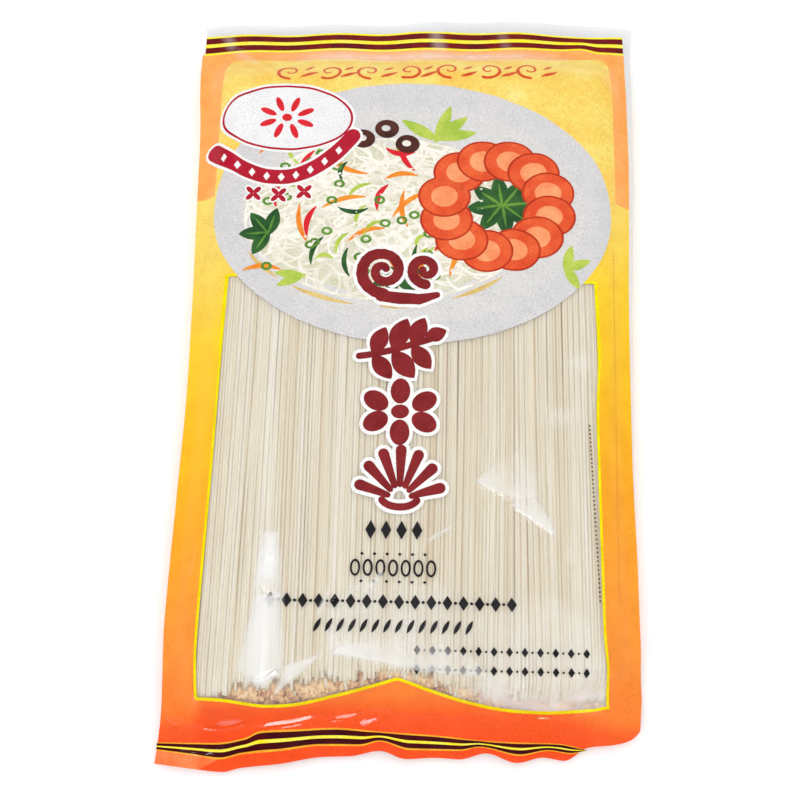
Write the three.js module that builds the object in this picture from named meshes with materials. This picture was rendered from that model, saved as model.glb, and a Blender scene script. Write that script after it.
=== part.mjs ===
// A sealed pillow pack of clear printed film, full of straight dried rice vermicelli, lying on its back.
// +Y runs towards the pack's top seal, +Z is up, and the origin is at the middle of the face it rests on.
// The film tube has a soft crease along each side, a flat end seal at both ends and a fin seal up the back.
// All sizes are in millimetres.
import * as THREE from "three";

// Outline of the pack, seen from above: half widths of both sides by Y, and the height of both ends by X
const LENGTH = 294;
const LEFT_SIDE = [
  [-147, 83.3], [-138, 82.4], [-124, 82.0], [-98, 83.1], [-56, 82.5], [-19, 81.9],
  [20, 82.6], [62, 84.0], [88, 84.8], [124, 87.3], [147, 87.5],
];
const RIGHT_SIDE = [
  [-147, 81.2], [-94, 80.8], [-52, 80.8], [-14, 81.6], [25, 82.8],
  [58, 84.5], [84, 85.5], [102, 85.7], [129, 86.4], [147, 87.5],
];
const TOP_EDGE = [
  [-88, 142.0], [-48, 143.5], [-7, 144.9], [9, 146.4], [34, 147], [58, 146.8], [70, 145.8], [88, 144],
];
const LOW_EDGE = [
  [-84, -144.7], [-72, -146], [-60, -147], [-54, -145.6], [-41, -144], [-27, -141.5], [-17.5, -141],
  [-7.5, -139.1], [1, -141.5], [11, -140.9], [19, -141.2], [28, -139.1], [38, -141.9], [47, -140],
  [54, -140.9], [62, -136.5], [71, -135.4], [76, -134], [79.6, -131], [81.5, -126],
];

// Right part of the lower edge that is folded under
const FOLD_X = [55, 64];
const FOLD_HALF_THICKNESS = 1.1;
const FOLD_RUN = 10;

// Thickness of the filled body and of the film at its edges
const CROWN = 16;
const SIDE_CREASE_Z = 5.2;
const SEAL_Z = 2.6;
const EDGE_HALF_THICKNESS = 0.35;
const SHOULDER = 18;
const SHOULDER_FULLNESS = 1.25;
const BELLY_GAIN = 2.1;
const SEAL_WIDTH = 12.5;
const LOW_END_RUN = 15;
const HIGH_END_RUN = 26;

// Waves of the end seals and gathers where the film leaves them
const SEAL_WAVE = 0.6;
const SEAL_WAVE_PERIOD = 37;
const SEAL_WAVE_PHASES = { top: 0.8, bottom: 2.2 };
const GATHER = 0.25;
const GATHER_PERIOD = 14.5;
const GATHER_RUN = 13;

// Long low ribs where the film lies on the bundle
const RIBS = [
  { height: 0.14, period: 17.3, phase: 0.6, lean: 0.004 },
  { height: 0.08, period: 9.1, phase: 2.1, lean: -0.006 },
];

// Flat places where slack film stands off the noodles, with their corners in anticlockwise order
const SLACK_RIM = 3.2;
const SLACK = [
  { height: 1.2, corners: [[-55, -114], [-48, -119], [-39.7, -113], [-42, -86.5], [-50, -86]] },
  { height: 1.3, corners: [[-25.7, -109.5], [0.2, -113.4], [13, -113], [11.3, -85], [-15, -84], [-28, -96]] },
  { height: 1.0, corners: [[11, -113.4], [65.4, -121.8], [65.6, -92], [51.7, -85.7], [31.5, -86.8], [11, -90]] },
  { height: 1.1, corners: [[22.3, -49.6], [33.4, -53.2], [45.5, -52.2], [40.1, -35.2], [30, -44]] },
  { height: 1.1, corners: [[35.4, -58.1], [51, -68.1], [45.5, -51.5], [35.8, -52.5]] },
];

// Fin seal, pressed flat along the back
const FIN_X = [-5, 6.5];
const FIN_GROOVE = 0.6;
const FIN_GROOVE_WIDTH = 6;

// Grid of the faceted solid
const COLUMNS = 54;
const ROWS = 50;
const EDGE_CROWDING = 0.45;

const FILM_COLOUR = 0xf2d9a6;
const FILM_ROUGHNESS = 0.25;

function clamp01(t) {
  return Math.min(1, Math.max(0, t));
}

function smooth(t) {
  const c = clamp01(t);
  return c * c * (3 - 2 * c);
}

function mix(a, b, t) {
  return a + (b - a) * t;
}

function grade(points, k) {
  return (points[k + 1][1] - points[k][1]) / (points[k + 1][0] - points[k][0]);
}

// Slope of the line at one of its points: level where the points turn back
function lean(points, k) {
  if (k === 0) return grade(points, 0);
  if (k === points.length - 1) return grade(points, k - 1);
  const before = grade(points, k - 1);
  const after = grade(points, k);
  return before * after > 0 ? (2 * before * after) / (before + after) : 0;
}

// A smooth line through the points that never overshoots them
function curve(points, t) {
  let k = 0;
  while (k < points.length - 2 && t > points[k + 1][0]) k++;
  const run = points[k + 1][0] - points[k][0];
  const s = clamp01((t - points[k][0]) / run);
  const bend = s * (1 - s) * run * ((1 - s) * lean(points, k) - s * lean(points, k + 1));
  return mix(points[k][1], points[k + 1][1], smooth(s)) + bend;
}

function halfWidth(y, side) {
  return curve(side < 0 ? LEFT_SIDE : RIGHT_SIDE, y);
}

function topEdge(x) {
  return curve(TOP_EDGE, x);
}

function bottomEdge(x) {
  return curve(LOW_EDGE, x);
}

// How far the film has risen from the crease and the seals to the crown, from 0 to 1
function endRise(x, y) {
  const low = smooth((y - bottomEdge(x) - SEAL_WIDTH) / LOW_END_RUN);
  const high = smooth((topEdge(x) - y - SEAL_WIDTH) / HIGH_END_RUN);
  return low * high;
}

function sideRise(x, y) {
  const t = (halfWidth(y, x) - Math.abs(x)) / SHOULDER;
  return 1 - (1 - smooth(t)) ** SHOULDER_FULLNESS;
}

// Height of the crease along the sides and of the middle of the seals
function creaseZ(x, y) {
  const phase = y > 0 ? SEAL_WAVE_PHASES.top : SEAL_WAVE_PHASES.bottom;
  const wave = SEAL_WAVE * Math.sin((2 * Math.PI * x) / SEAL_WAVE_PERIOD + phase);
  return mix(SEAL_Z + wave, SIDE_CREASE_Z, endRise(x, y));
}

// The folded corner is a few layers thick, the rest of the edge only two.
function edgeHalfThickness(x, y) {
  const across = smooth((x - FOLD_X[0]) / (FOLD_X[1] - FOLD_X[0]));
  const down = smooth((SEAL_WIDTH + FOLD_RUN + bottomEdge(x) - y) / FOLD_RUN);
  return mix(EDGE_HALF_THICKNESS, FOLD_HALF_THICKNESS, across * down);
}

// How far inside a convex outline a point lies; negative outside
function insideDepth(corners, x, y) {
  let depth = Infinity;
  for (let k = 0; k < corners.length; k++) {
    const [ax, ay] = corners[k];
    const [bx, by] = corners[(k + 1) % corners.length];
    const toEdge = ((bx - ax) * (y - ay) - (by - ay) * (x - ax)) / Math.hypot(bx - ax, by - ay);
    depth = Math.min(depth, toEdge);
  }
  return depth;
}

function slackHeight(x, y) {
  let z = 0;
  for (const { height, corners } of SLACK) {
    z = Math.max(z, height * smooth(insideDepth(corners, x, y) / SLACK_RIM));
  }
  return z;
}

function ribHeight(x, y) {
  let z = 0;
  for (const rib of RIBS) {
    z += rib.height * Math.sin((2 * Math.PI * (x + rib.lean * y * rib.period)) / rib.period + rib.phase);
  }
  return z;
}

function gatherHeight(x, y) {
  const fromSeal = Math.min(y - bottomEdge(x), topEdge(x) - y) - SEAL_WIDTH;
  const near = Math.max(0, 1 - Math.abs(fromSeal / GATHER_RUN - 1));
  return GATHER * near * Math.sin((2 * Math.PI * x) / GATHER_PERIOD + Math.sign(y));
}

function frontZ(x, y) {
  const rise = endRise(x, y) * sideRise(x, y);
  const crease = creaseZ(x, y);
  const inside = smooth((halfWidth(y, x) - Math.abs(x)) / SHOULDER);
  const relief = inside * (rise * ribHeight(x, y) + gatherHeight(x, y) + slackHeight(x, y));
  return crease + edgeHalfThickness(x, y) + rise * (CROWN - crease) + relief;
}

// The fin seal shows as a flat band between two shallow grooves.
function finGroove(x) {
  const fromBand = Math.min(Math.abs(x - FIN_X[0]), Math.abs(x - FIN_X[1]));
  return FIN_GROOVE * Math.max(0, 1 - (2 * fromBand) / FIN_GROOVE_WIDTH);
}

function backZ(x, y) {
  const rise = clamp01(endRise(x, y) * sideRise(x, y) * BELLY_GAIN);
  const edge = creaseZ(x, y) - edgeHalfThickness(x, y);
  return edge * (1 - rise) + finGroove(x) * rise;
}

// Grid lines crowd towards both ends of 0..1 so that the edges stay crisp.
function crowded(t) {
  return mix(t, 0.5 - 0.5 * Math.cos(Math.PI * t), EDGE_CROWDING);
}

function gridPoint(i, j) {
  const v = crowded(j / ROWS);
  const u = 2 * crowded(i / COLUMNS) - 1;
  const x = u * halfWidth(LENGTH * (v - 0.5), u);
  return [x, mix(bottomEdge(x), topEdge(x), v)];
}

// Both faces share one grid; a narrow wall round the rim closes them into one solid.
function packGeometry() {
  const stride = COLUMNS + 1;
  const faceSize = stride * (ROWS + 1);
  const positions = new Float32Array(2 * faceSize * 3);
  for (let j = 0; j <= ROWS; j++) {
    for (let i = 0; i <= COLUMNS; i++) {
      const [x, y] = gridPoint(i, j);
      const n = j * stride + i;
      positions.set([x, y, frontZ(x, y)], 3 * n);
      positions.set([x, y, backZ(x, y)], 3 * (n + faceSize));
    }
  }
  const index = [];
  for (let j = 0; j < ROWS; j++) {
    for (let i = 0; i < COLUMNS; i++) {
      const a = j * stride + i;
      const [b, c, d] = [a + 1, a + stride + 1, a + stride];
      index.push(a, b, c, a, c, d);
      const back = [a, b, c, d].map((n) => n + faceSize);
      index.push(back[0], back[2], back[1], back[0], back[3], back[2]);
    }
  }
  const rim = rimLoop(stride);
  for (let k = 0; k < rim.length; k++) {
    const a = rim[k];
    const b = rim[(k + 1) % rim.length];
    index.push(a, a + faceSize, b + faceSize, a, b + faceSize, b);
  }
  const geometry = new THREE.BufferGeometry();
  geometry.setAttribute("position", new THREE.BufferAttribute(positions, 3));
  geometry.setIndex(index);
  geometry.computeVertexNormals();
  return geometry;
}

// Grid points round the rim, anticlockwise seen from above
function rimLoop(stride) {
  const loop = [];
  for (let i = 0; i < COLUMNS; i++) loop.push(i);
  for (let j = 0; j < ROWS; j++) loop.push(j * stride + COLUMNS);
  for (let i = COLUMNS; i > 0; i--) loop.push(ROWS * stride + i);
  for (let j = ROWS; j > 0; j--) loop.push(j * stride);
  return loop;
}

const film = new THREE.MeshStandardMaterial({ color: FILM_COLOUR, roughness: FILM_ROUGHNESS, metalness: 0 });
const pack = new THREE.Mesh(packGeometry(), film);
pack.name = "noodle_pack";

const group = new THREE.Group();
group.add(pack);
export default group;
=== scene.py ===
import math

import bpy
import numpy as np
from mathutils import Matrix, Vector
from mathutils.geometry import delaunay_2d_cdt


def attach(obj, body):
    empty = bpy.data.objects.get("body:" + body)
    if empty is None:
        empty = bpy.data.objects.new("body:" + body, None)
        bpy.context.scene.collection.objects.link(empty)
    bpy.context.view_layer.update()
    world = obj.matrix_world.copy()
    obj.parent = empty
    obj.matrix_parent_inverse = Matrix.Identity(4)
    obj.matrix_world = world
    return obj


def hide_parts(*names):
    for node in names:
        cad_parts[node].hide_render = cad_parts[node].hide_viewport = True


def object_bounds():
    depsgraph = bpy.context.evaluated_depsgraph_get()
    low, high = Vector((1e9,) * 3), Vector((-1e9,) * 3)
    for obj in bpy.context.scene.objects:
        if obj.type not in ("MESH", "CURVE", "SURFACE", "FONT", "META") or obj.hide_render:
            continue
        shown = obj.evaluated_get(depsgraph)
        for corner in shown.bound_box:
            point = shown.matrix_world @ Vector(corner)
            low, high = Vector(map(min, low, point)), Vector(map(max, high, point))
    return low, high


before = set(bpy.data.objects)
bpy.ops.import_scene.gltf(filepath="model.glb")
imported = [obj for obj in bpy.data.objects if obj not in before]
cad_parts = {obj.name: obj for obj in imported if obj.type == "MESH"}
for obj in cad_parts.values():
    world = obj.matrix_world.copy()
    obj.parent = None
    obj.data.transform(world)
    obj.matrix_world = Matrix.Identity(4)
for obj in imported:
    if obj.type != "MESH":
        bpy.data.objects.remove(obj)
cad_low, cad_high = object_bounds()

# A sealed pillow pack of clear printed film, full of straight dried rice vermicelli, lying on its back.
# Sizes and places are in millimetres, as on a print layout. add_mesh() turns them into metres.
MM = 0.001
SEED = 7

# Outline of the pack, seen from above: half widths by height on the page, left and right, and both ends
LENGTH = (cad_high.y - cad_low.y) / MM
LEFT_SIDE = ((-147, 83.3), (-138, 82.4), (-124, 82.0), (-98, 83.1), (-56, 82.5), (-19, 81.9),
             (20, 82.6), (62, 84.0), (88, 84.8), (124, 87.3), (147, 87.5))
RIGHT_SIDE = ((-147, 81.2), (-94, 80.8), (-52, 80.8), (-14, 81.6), (25, 82.8), (58, 84.5),
              (84, 85.5), (102, 85.7), (129, 86.4), (147, 87.5))
TOP_EDGE = ((-88, 142.0), (-48, 143.5), (-7, 144.9), (9, 146.4), (34, 147), (58, 146.8), (70, 145.8),
            (88, 144))
LOW_EDGE = ((-84, -144.7), (-72, -146), (-60, -147), (-54, -145.6), (-41, -144), (-27, -141.5), (-17.5, -141),
            (-7.5, -139.1), (1, -141.5), (11, -140.9), (19, -141.2), (28, -139.1), (38, -141.9), (47, -140),
            (54, -140.9), (62, -136.5), (71, -135.4), (76, -134), (79.6, -131), (81.5, -126))

# Right part of the lower edge that is folded under
FOLD_X = (55, 64)
FOLD_HALF_THICKNESS = 1.1
FOLD_RUN = 10

# Thickness of the filled body and of the film at its edges
CROWN = 16
SIDE_CREASE_Z = 5.2
SEAL_Z = 2.6
EDGE_HALF_THICKNESS = 0.35
RIM_RUN = 1.2
SHOULDER = 18
SHOULDER_FULLNESS = 1.25
BELLY_GAIN = 1.9
SEAL_WIDTH = 12.5
LOW_END_RUN = 15
HIGH_END_RUN = 26
EDGE_CROWDING = 0.3

# Waves of the end seals and gathers where the film leaves them
SEAL_WAVE = 0.6
SEAL_WAVE_PERIOD = 37
SEAL_WAVE_PHASES = (0.8, 2.2)
GATHER = 0.25
GATHER_PERIOD = 14.5
GATHER_RUN = 13

# Long low ribs where the film lies on the bundle: height, period, phase and lean
RIBS = ((0.14, 17.3, 0.6, 0.004), (0.08, 9.1, 2.1, -0.006))

# Flat smooth places where slack film stands off the noodles: height, width of the sloping rim, strength of
# the painted reflection on it from 0 to 1, how far in from its first edge that fades, and the corners in
# anticlockwise order. RIM_PAINTED_REFLECTION is how strong the painted reflection already is at the outer
# edge of the rim, and EVEN is a run so long that nothing fades.
RIM_PAINTED_REFLECTION = 0.3
EVEN = 1000
SLACK = (
    (1.2, 2.4, 0.95, 90, ((-55.6, -113.7), (-52.3, -117.8), (-48.4, -119.9), (-45.1, -119.2), (-40.3, -115.3),
                          (-39.7, -111.1), (-41.6, -88.5), (-51.2, -89.5))),
    (1.2, 2.4, 0.66, EVEN, ((-52, -93), (-41.4, -91), (-43.5, -67.8), (-47, -66.9), (-50.3, -68.6))),
    (0.6, 1.5, 0.7, EVEN, ((-43.6, -123.1), (-33.4, -114.4), (-26.2, -107.6), (-39.8, -112.4))),
    (1.2, 0.8, 0.8, 9, ((-24.7, -109.5), (-5.1, -113.2), (11.7, -114.2), (31.6, -117.4), (23.2, -109),
                         (11, -104), (-2, -103), (-22, -105))),
    (1.2, 2.0, 0.35, 60, ((-25, -108.8), (-2, -112.8), (14, -112), (14, -84), (-16, -82.5), (-26.5, -92),
                          (-28.6, -97))),
    (1.2, 5.0, 0.16, EVEN, ((8, -112), (26, -114), (30, -94), (20, -86), (8, -84))),
    (0.8, 7.0, 0.22, EVEN, ((24, -109.3), (33.9, -117.5), (66.7, -119), (66.5, -96), (50, -87), (30, -86))),
    (0.6, 3.0, 0.62, 12, ((16, -121), (32, -124.5), (50, -126.5), (70, -126.5), (67.5, -112), (30, -112))),
    (0.4, 1.6, 0.6, EVEN, ((49.8, -121.9), (68.5, -122), (67.7, -117.6), (56.6, -118.6))),
    (1.1, 0.8, 0.85, 7, ((22.7, -49.2), (35.4, -55), (38.5, -55.4), (44.7, -54.2), (44.2, -44.4),
                         (38.7, -36.7), (33.5, -38.2))),
    (1.1, 0.8, 0.95, 6, ((35.5, -57.6), (51.1, -68), (48.8, -61), (44.7, -54), (36.8, -49.8))),
    (1.0, 4.0, 0.22, EVEN, ((32.2, -46), (36, -56), (45.5, -56), (45, -44), (41, -35), (37, -36))),
    (0.5, 1.0, 0.75, 2.5, ((-28.6, -96.5), (-25.3, -87.4), (-26.6, -86.5), (-30.4, -95.5))),
    (0.5, 1.0, 0.75, 2.5, ((-12.1, -87.3), (-7.6, -81.6), (-8.9, -80.4), (-13.6, -86))),
    (0.5, 0.8, 0.75, 3, ((6.2, -71.2), (16.5, -64.9), (13.6, -65), (7.6, -68.6))),
    (0.5, 3.5, 0.2, EVEN, ((46.9, -28.8), (60.8, -29.2), (63.8, -26.5), (59, -20.5), (50.9, -21.4),
                           (46.9, -23.8))),
    (0.5, 3.0, 0.18, EVEN, ((53.8, -8.4), (65.6, -8.5), (65.2, -1), (53.5, -2))),
    (0.4, 2.0, 0.25, EVEN, ((54, -77), (57.2, -76.5), (57.4, -69.6), (54, -69))),
)

# Streaks of painted reflection on the upper seal: half width, strength, and both ends of the middle line.
# They start at STREAK_END and grow towards their middle by STREAK_FADE.
STREAK_END = 0.1
STREAK_FADE = 3
STREAKS = (
    (3.6, 0.22, (-80, 144), (-74, 129)),
    (3.6, 0.2, (-75, 131), (-62, 121)),
    (4.4, 0.24, (6, 146), (11, 126)),
    (3.4, 0.14, (33, 145), (38, 128)),
    (5.0, 0.5, (-62, 127.4), (66, 129.4)),
)

# Short bright wrinkles, most of them beside the lower seal: both ends, half width and gloss. GLINT_TIP is the
# half width at their ends, and GLINT_REACH says how far past its width the gloss fades out.
GLINT_TIP = 0.01
GLINT_REACH = 1.6
GLINTS = (
    ((-67, -133), (-52, -130.4), 0.9, 0.4),
    ((-62, -131.2), (-54, -130.4), 0.6, 0.8),
    ((-50, -133.6), (-42.5, -131.6), 0.8, 0.5),
    ((-46.5, -131.6), (-37.5, -130), 0.8, 0.9),
    ((-38, -130.4), (-30.6, -128.2), 0.6, 0.9),
    ((-40.5, -132), (-34, -130.6), 0.5, 0.6),
    ((-24.6, -129.6), (-15.6, -126.7), 0.6, 0.5),
    ((-14.6, -130), (-8.8, -128.8), 0.55, 0.9),
    ((-13.6, -128.6), (-12.6, -131.2), 0.5, 0.6),
    ((-80, -131), (-75, -133.4), 0.6, 0.35),
    ((-75, -139.8), (-66, -142), 0.4, 0.4),
    ((-66, -141.4), (-55, -137.2), 0.45, 0.4),
    ((-69.8, -96), (-70.6, -112), 0.35, 0.3),
    ((-70.5, -108), (-69.2, -127), 0.45, 0.5),
    ((-72, -72), (-73.8, -84), 0.4, 0.3),
    ((-48, -116.4), (-40.6, -114), 0.7, 0.8),
    ((-51.5, -84), (-44, -91), 0.5, 0.3),
    ((-50.5, -78), (-43.5, -77), 0.5, 0.3),
    ((23, -49.6), (35, -55.4), 0.4, 0.5),
    ((35.6, -57.8), (51, -68), 0.45, 0.6),
)

# Fine wrinkles of the clear film: the middle of the crest line, its direction in degrees from +X, its length,
# the widths of the facets on both sides of it and its height
CREASES = (
    (-74, -85, 78, 26, 2.0, 1.2, 0.2),
    (-76, -104, 64, 14, 1.6, 1.0, 0.2),
    (-60, -131, 12, 22, 1.6, 1.6, 0.22),
    (-44, -128.5, 20, 26, 1.6, 2.0, 0.25),
    (-22, -127, 16, 18, 1.4, 1.6, 0.22),
    (-6, -128.5, 24, 12, 1.4, 1.4, 0.2),
    (-66, -141, -52, 9, 1.2, 1.2, 0.2),
    (-60, -143, 70, 7, 1.0, 1.0, 0.16),
    (-12, -107, 12, 24, 3.0, 1.6, 0.35),
    (74.5, -50, 90, 70, 1.4, 0.8, 0.16),
    (66, -92, 35, 26, 2.4, 1.6, 0.25),
    (70, -112, 40, 16, 1.6, 1.2, 0.2),
    (-62, 121, -52, 36, 3.0, 2.4, 0.35),
    (22, 130, 62, 26, 2.4, 2.4, 0.25),
    (52, 131, 20, 20, 1.6, 1.2, 0.2),
)
CREST_RADIUS = 0.5
WRINKLE_RUN = 4

# Kinds of random bumps, of the film and then of the noodles: height, width along X, length along Y and the
# number of the kind
BUMP_TABLE = 64
RIPPLES = ((0.12, 9, 27, 0), (0.05, 3.6, 11, 1))
SEAL_GATHERS = (0.12, 4.5, 24, 5)
GATHER_SWAY = (2, 30, 60, 6)
BACK_UNEVENNESS = (0.12, 6, 15, 9)
CLOUDS = (0.24, 3.1, 19, 60)
SLACK_PATCHES = ((0.7, 6, 9, 61), (0.4, 2.2, 4.5, 62))
SWAY = (1.1, 15, 130, 20)
OWN_SWAY = (0.35, 1.7, 70, 21)
LUMPS = (0.3, 5.5, 160, 30)
OWN_LUMPS = (0.1, 1.3, 60, 31)
TONE_BUNCHES = (0.2, 2.7, 10, 40)
TONE_FIELDS = (0.16, 8, 10, 45)
END_BUNCHES = (1.7, 2.4, 10, 51)
RIPPLE_AT_EDGE = 0.3

# Crimp of the seals, and fine ribs along the right side
CRIMP = 0.012
CRIMP_PERIOD = 1.3
CRIMP_RUN = 2
SIDE_RIBS = 0.06
SIDE_RIB_PERIOD = 1.9
SIDE_RIBS_X = (67.5, 75)
SIDE_RIBS_Y = (-23, 42)
SIDE_RIB_RUNS = (0.5, 4)

# Fin seal: a strip that lies flat in a shallow hollow along the back
FIN_X = (-5, 6.5)
FIN_HOLLOW = 0.4
FIN_HOLLOW_RUN = 3
FIN_THICKNESS = 0.25
FIN_GAP = 0.05

# Film and ink. The ink lies on the inside of the film, and a higher level lies closer to it.
FILM_COLUMNS = 225
FILM_ROWS = 395
BACK_COLUMNS = 160
BACK_ROWS = 200
BACK_INK_DEPTH = 0.15
BACK_SPACING = 1.25
INK_DEPTH = 0.22
LEVEL_STEP = 0.05
TOP_LEVEL = 4
PRINT_SPACING = 0.95
FINE_SPACING = 0.6
HAZE_SPACING = 1.2
ROW_SPACING = 0.87
EDGE_CELL = 0.7
MERGE_DISTANCE = 1e-5
TINY = 1e-9
RIBBON_TIP = 0.12
LEAF_FULLNESS = 0.8

# Colours and looks
WHITE = (255, 255, 255)
GRAIN_SCALE = 1800
INK_GRAIN = 226
FIELD_GRAIN = 236
INK_PATCH = 6
FIELD_TILT = 0.16
FIELD_TILT_Y = (-110, -50)
FIELD_DROP = 6
FIELD_DROP_X = ((-71, -66), (70, 48))
SLACK_SHINE = 0.12
# Painted reflection: white sheets that stand in for the light which slack film reflects
PAINTED_REFLECTION = 0.9
PAINTED_REFLECTION_LEVEL = 6
PAINTED_REFLECTION_SPACING = 0.7
PAINTED_REFLECTION_COLOUR = (233, 233, 232)
LEAST_PAINTED_REFLECTION = 0.01
LOW_PAINTED_REFLECTION_X = (-60, 69)
HIGH_PAINTED_REFLECTION_X = (-84, 72)
HIGH_PAINTED_REFLECTION_Y = 117
OVER_PRINT = 0.7
CLOUD_SHARE = 0.88
# Painted reflection over the lower right corner of the window
CORNER_REFLECTION = 0.14
CORNER_REFLECTION_X = (5, 65)
CORNER_REFLECTION_Y = (-100, -122)
# Faint haze over the noodles: partly the film's own haze, partly painted sheen of the light it reflects
HAZE_AND_SHEEN_COLOUR = (228, 223, 213)
HAZE_AND_SHEEN_AT_REST = (0.16, 0.24)
STRIP_COLOUR = (222, 222, 226)
STRIP_HAZE = (0.5, 0.62)
GLOSS_AT_REST = 0.003
GLOSS_WHERE_SLACK = 0.13
GLOSS_EDGE = 0.5
GLOSS_POWER = 4
BACK_GLOSS = 0.1

# Sockets of Blender's Mix node that take and give colours
MIX_FACTOR = 0
MIX_A = 6
MIX_B = 7
MIX_RESULT = 2

# Colours along a tone from 0 to 1. The dark low end of the noodle tones is painted shade, taken by the
# lower layers and the core; the ply's tones are painted shade warmed by light from the orange print.
NOODLE_TONES = ((0.0, (182, 142, 98)), (0.25, (216, 198, 164)), (0.5, (229, 219, 195)),
                (0.8, (233, 227, 209)), (1.0, (238, 234, 223)))
NEST_TONES = ((0.0, (220, 215, 198)), (0.4, (234, 230, 218)), (1.0, (246, 244, 236)))
PLY_SHADE_TONES = ((0.34, (116, 66, 44)), (0.44, (184, 126, 84)), (0.56, (226, 182, 128)), (0.72, (246, 216, 168)))

# The border's colours up the page
FIELD_COLOURS = (
    (-146, (253, 86, 36)),
    (-136, (253, 84, 36)),
    (-127, (253, 98, 46)),
    (-121, (255, 134, 58)),
    (-108, (255, 149, 64)),
    (-90, (255, 160, 62)),
    (-57, (255, 175, 48)),
    (-20, (255, 196, 44)),
    (20, (255, 212, 58)),
    (53, (254, 221, 106)),
    (75, (254, 224, 116)),
)

# Inks that turn from one colour into the other in patches
INK_COLOURS = {
    "peach": ((255, 180, 100), (255, 168, 88)),
    "yellow": ((255, 240, 40), (255, 246, 90)),
    "line": ((250, 236, 20), (240, 216, 14)),
    "maroon": ((122, 24, 26), (98, 14, 22)),
    "dark_maroon": ((78, 10, 20), (62, 6, 16)),
    "amber": ((250, 190, 50), (246, 170, 48)),
    "flap": ((255, 140, 84), (255, 118, 64)),
    "plate": ((212, 211, 212), (218, 215, 216)),
    "plate_well": ((216, 215, 214), (222, 219, 217)),
    "brick": ((142, 42, 45), (128, 34, 38)),
    "white": ((252, 251, 249), (246, 244, 242)),
    "pearl": ((238, 236, 238), (244, 243, 243)),
    "red": ((226, 44, 58), (214, 36, 46)),
    "crimson": ((188, 32, 56), (176, 26, 46)),
    "scroll": ((214, 78, 42), (226, 100, 48)),
    "black": ((30, 28, 30), (40, 38, 40)),
    "olive_dots": ((120, 92, 52), (104, 78, 46)),
    "faint_dots": ((214, 118, 52), (204, 104, 44)),
    "nest": ((228, 225, 206), (214, 212, 182)),
    "coral": ((238, 104, 58), (226, 82, 46)),
    "coral_light": ((252, 168, 118), (248, 146, 96)),
    "rust": ((196, 62, 34), (180, 50, 30)),
    "dark": ((66, 36, 32), (90, 52, 42)),
    "leaf_dark": ((38, 78, 44), (58, 104, 52)),
    "leaf": ((84, 134, 54), (112, 158, 64)),
    "leaf_light": ((166, 196, 72), (196, 212, 96)),
    "carrot": ((246, 156, 52), (238, 130, 40)),
    "sauce": ((228, 200, 128), (214, 176, 108)),
}

# Layout of the print
PRINT_MARGIN = 0.3
CLEAR_MARGIN = 2.8
CLEAR_MARGIN_Y = (-70, 145)
CLEAR_X = (-86.6, 87)
CLEAR_LOW = -60
CLEAR_HIGH = 143
STRIPE_GAP = 0.5
FIELD_LOW_RIGHT = -120
FIELD_LOW_X = -83
WINDOW_LOW = -123
WINDOW_TOP = 26
WINDOW_LEFT = ((-124, -68.2), (-106, -69.4), (-50, -68.6), (-6, -68.2), (26, -67.5))
WINDOW_RIGHT = ((-123, 68.4), (-97, 66.1), (-26, 65.9), (-3, 67), (26, 66.4))
WINDOW_CUSP_X = -2.2
WINDOW_FOOT_LEFT = ((-69, -123.1), (-60, -123.5), (-46.2, -124.9), (-40, -124.6), (-22, -120.8),
                    (-2.2, -115.3))
WINDOW_FOOT_RIGHT = ((-2.2, -115.3), (9.4, -119), (21.3, -122.1), (38, -124.6), (46.3, -124.8), (63, -123.7),
                     (69, -122.6))
WINDOW_LINE = 1.0
WINDOW_LINE_GAIN = 0.45
WINDOW_LINE_GAIN_Y = (-8, 6)
PLATE_CENTRE = (-0.8, 54.9)
PLATE_RADII = (75, 53.6)
PANEL_X = (-76, 76.5)
PANEL_LOW = 61.5
PANEL_TOP = ((-76, 124.2), (-58, 125.6), (-24.4, 126.6), (9, 126), (42.5, 127), (76.5, 129.6))
PANEL_CORNER = 4.5
STRIPES_X = (-86, 83.3)
STRIPES_HIGH = ((-86, 137.3), (-48, 139.1), (-15, 140.3), (1, 141.2), (34, 141.7), (58, 141.1), (74, 140),
                (83, 140.2))
STRIPES_HIGH_FOOT = ((-86, 128.4), (-48, 131.1), (-7, 132.3), (33, 133.4), (58, 134), (66, 134.4),
                     (74, 132.2), (83, 131.7))
LOW_STRIPES_X = (-82.4, 61.6)
STRIPES_LOW = ((-82.4, -137.8), (-63, -137.5), (-53, -135.7), (-48, -133.3), (-35, -132.5), (-22, -131.7),
               (-8, -132.6), (9, -133.3), (32, -135), (52, -135.2), (61.6, -137))
STRIPES_LOW_FOOT = ((-82.4, -140.2), (-71, -141.5), (-61, -142.7), (-54, -141), (-41, -139.6), (-28, -137.7),
                    (-14.3, -137.4), (-7.7, -135.8), (2.4, -138.3), (19, -138.2), (25.8, -136.9),
                    (39, -139.3), (49, -137.5), (56, -138.3), (61.6, -137.1))
HIGH_SHARES = (("yellow", 0.1), ("maroon", 0.3), ("yellow", 0.19), ("maroon", 0.3), ("yellow", 0.11))
LOW_SHARES = (("amber", 0.1), ("dark_maroon", 0.31), ("yellow", 0.17), ("dark_maroon", 0.31), ("amber", 0.11))
FLAP_HIGH_X = (-84, -61.5)
FLAP_LOW_X = (-84, -68)

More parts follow.
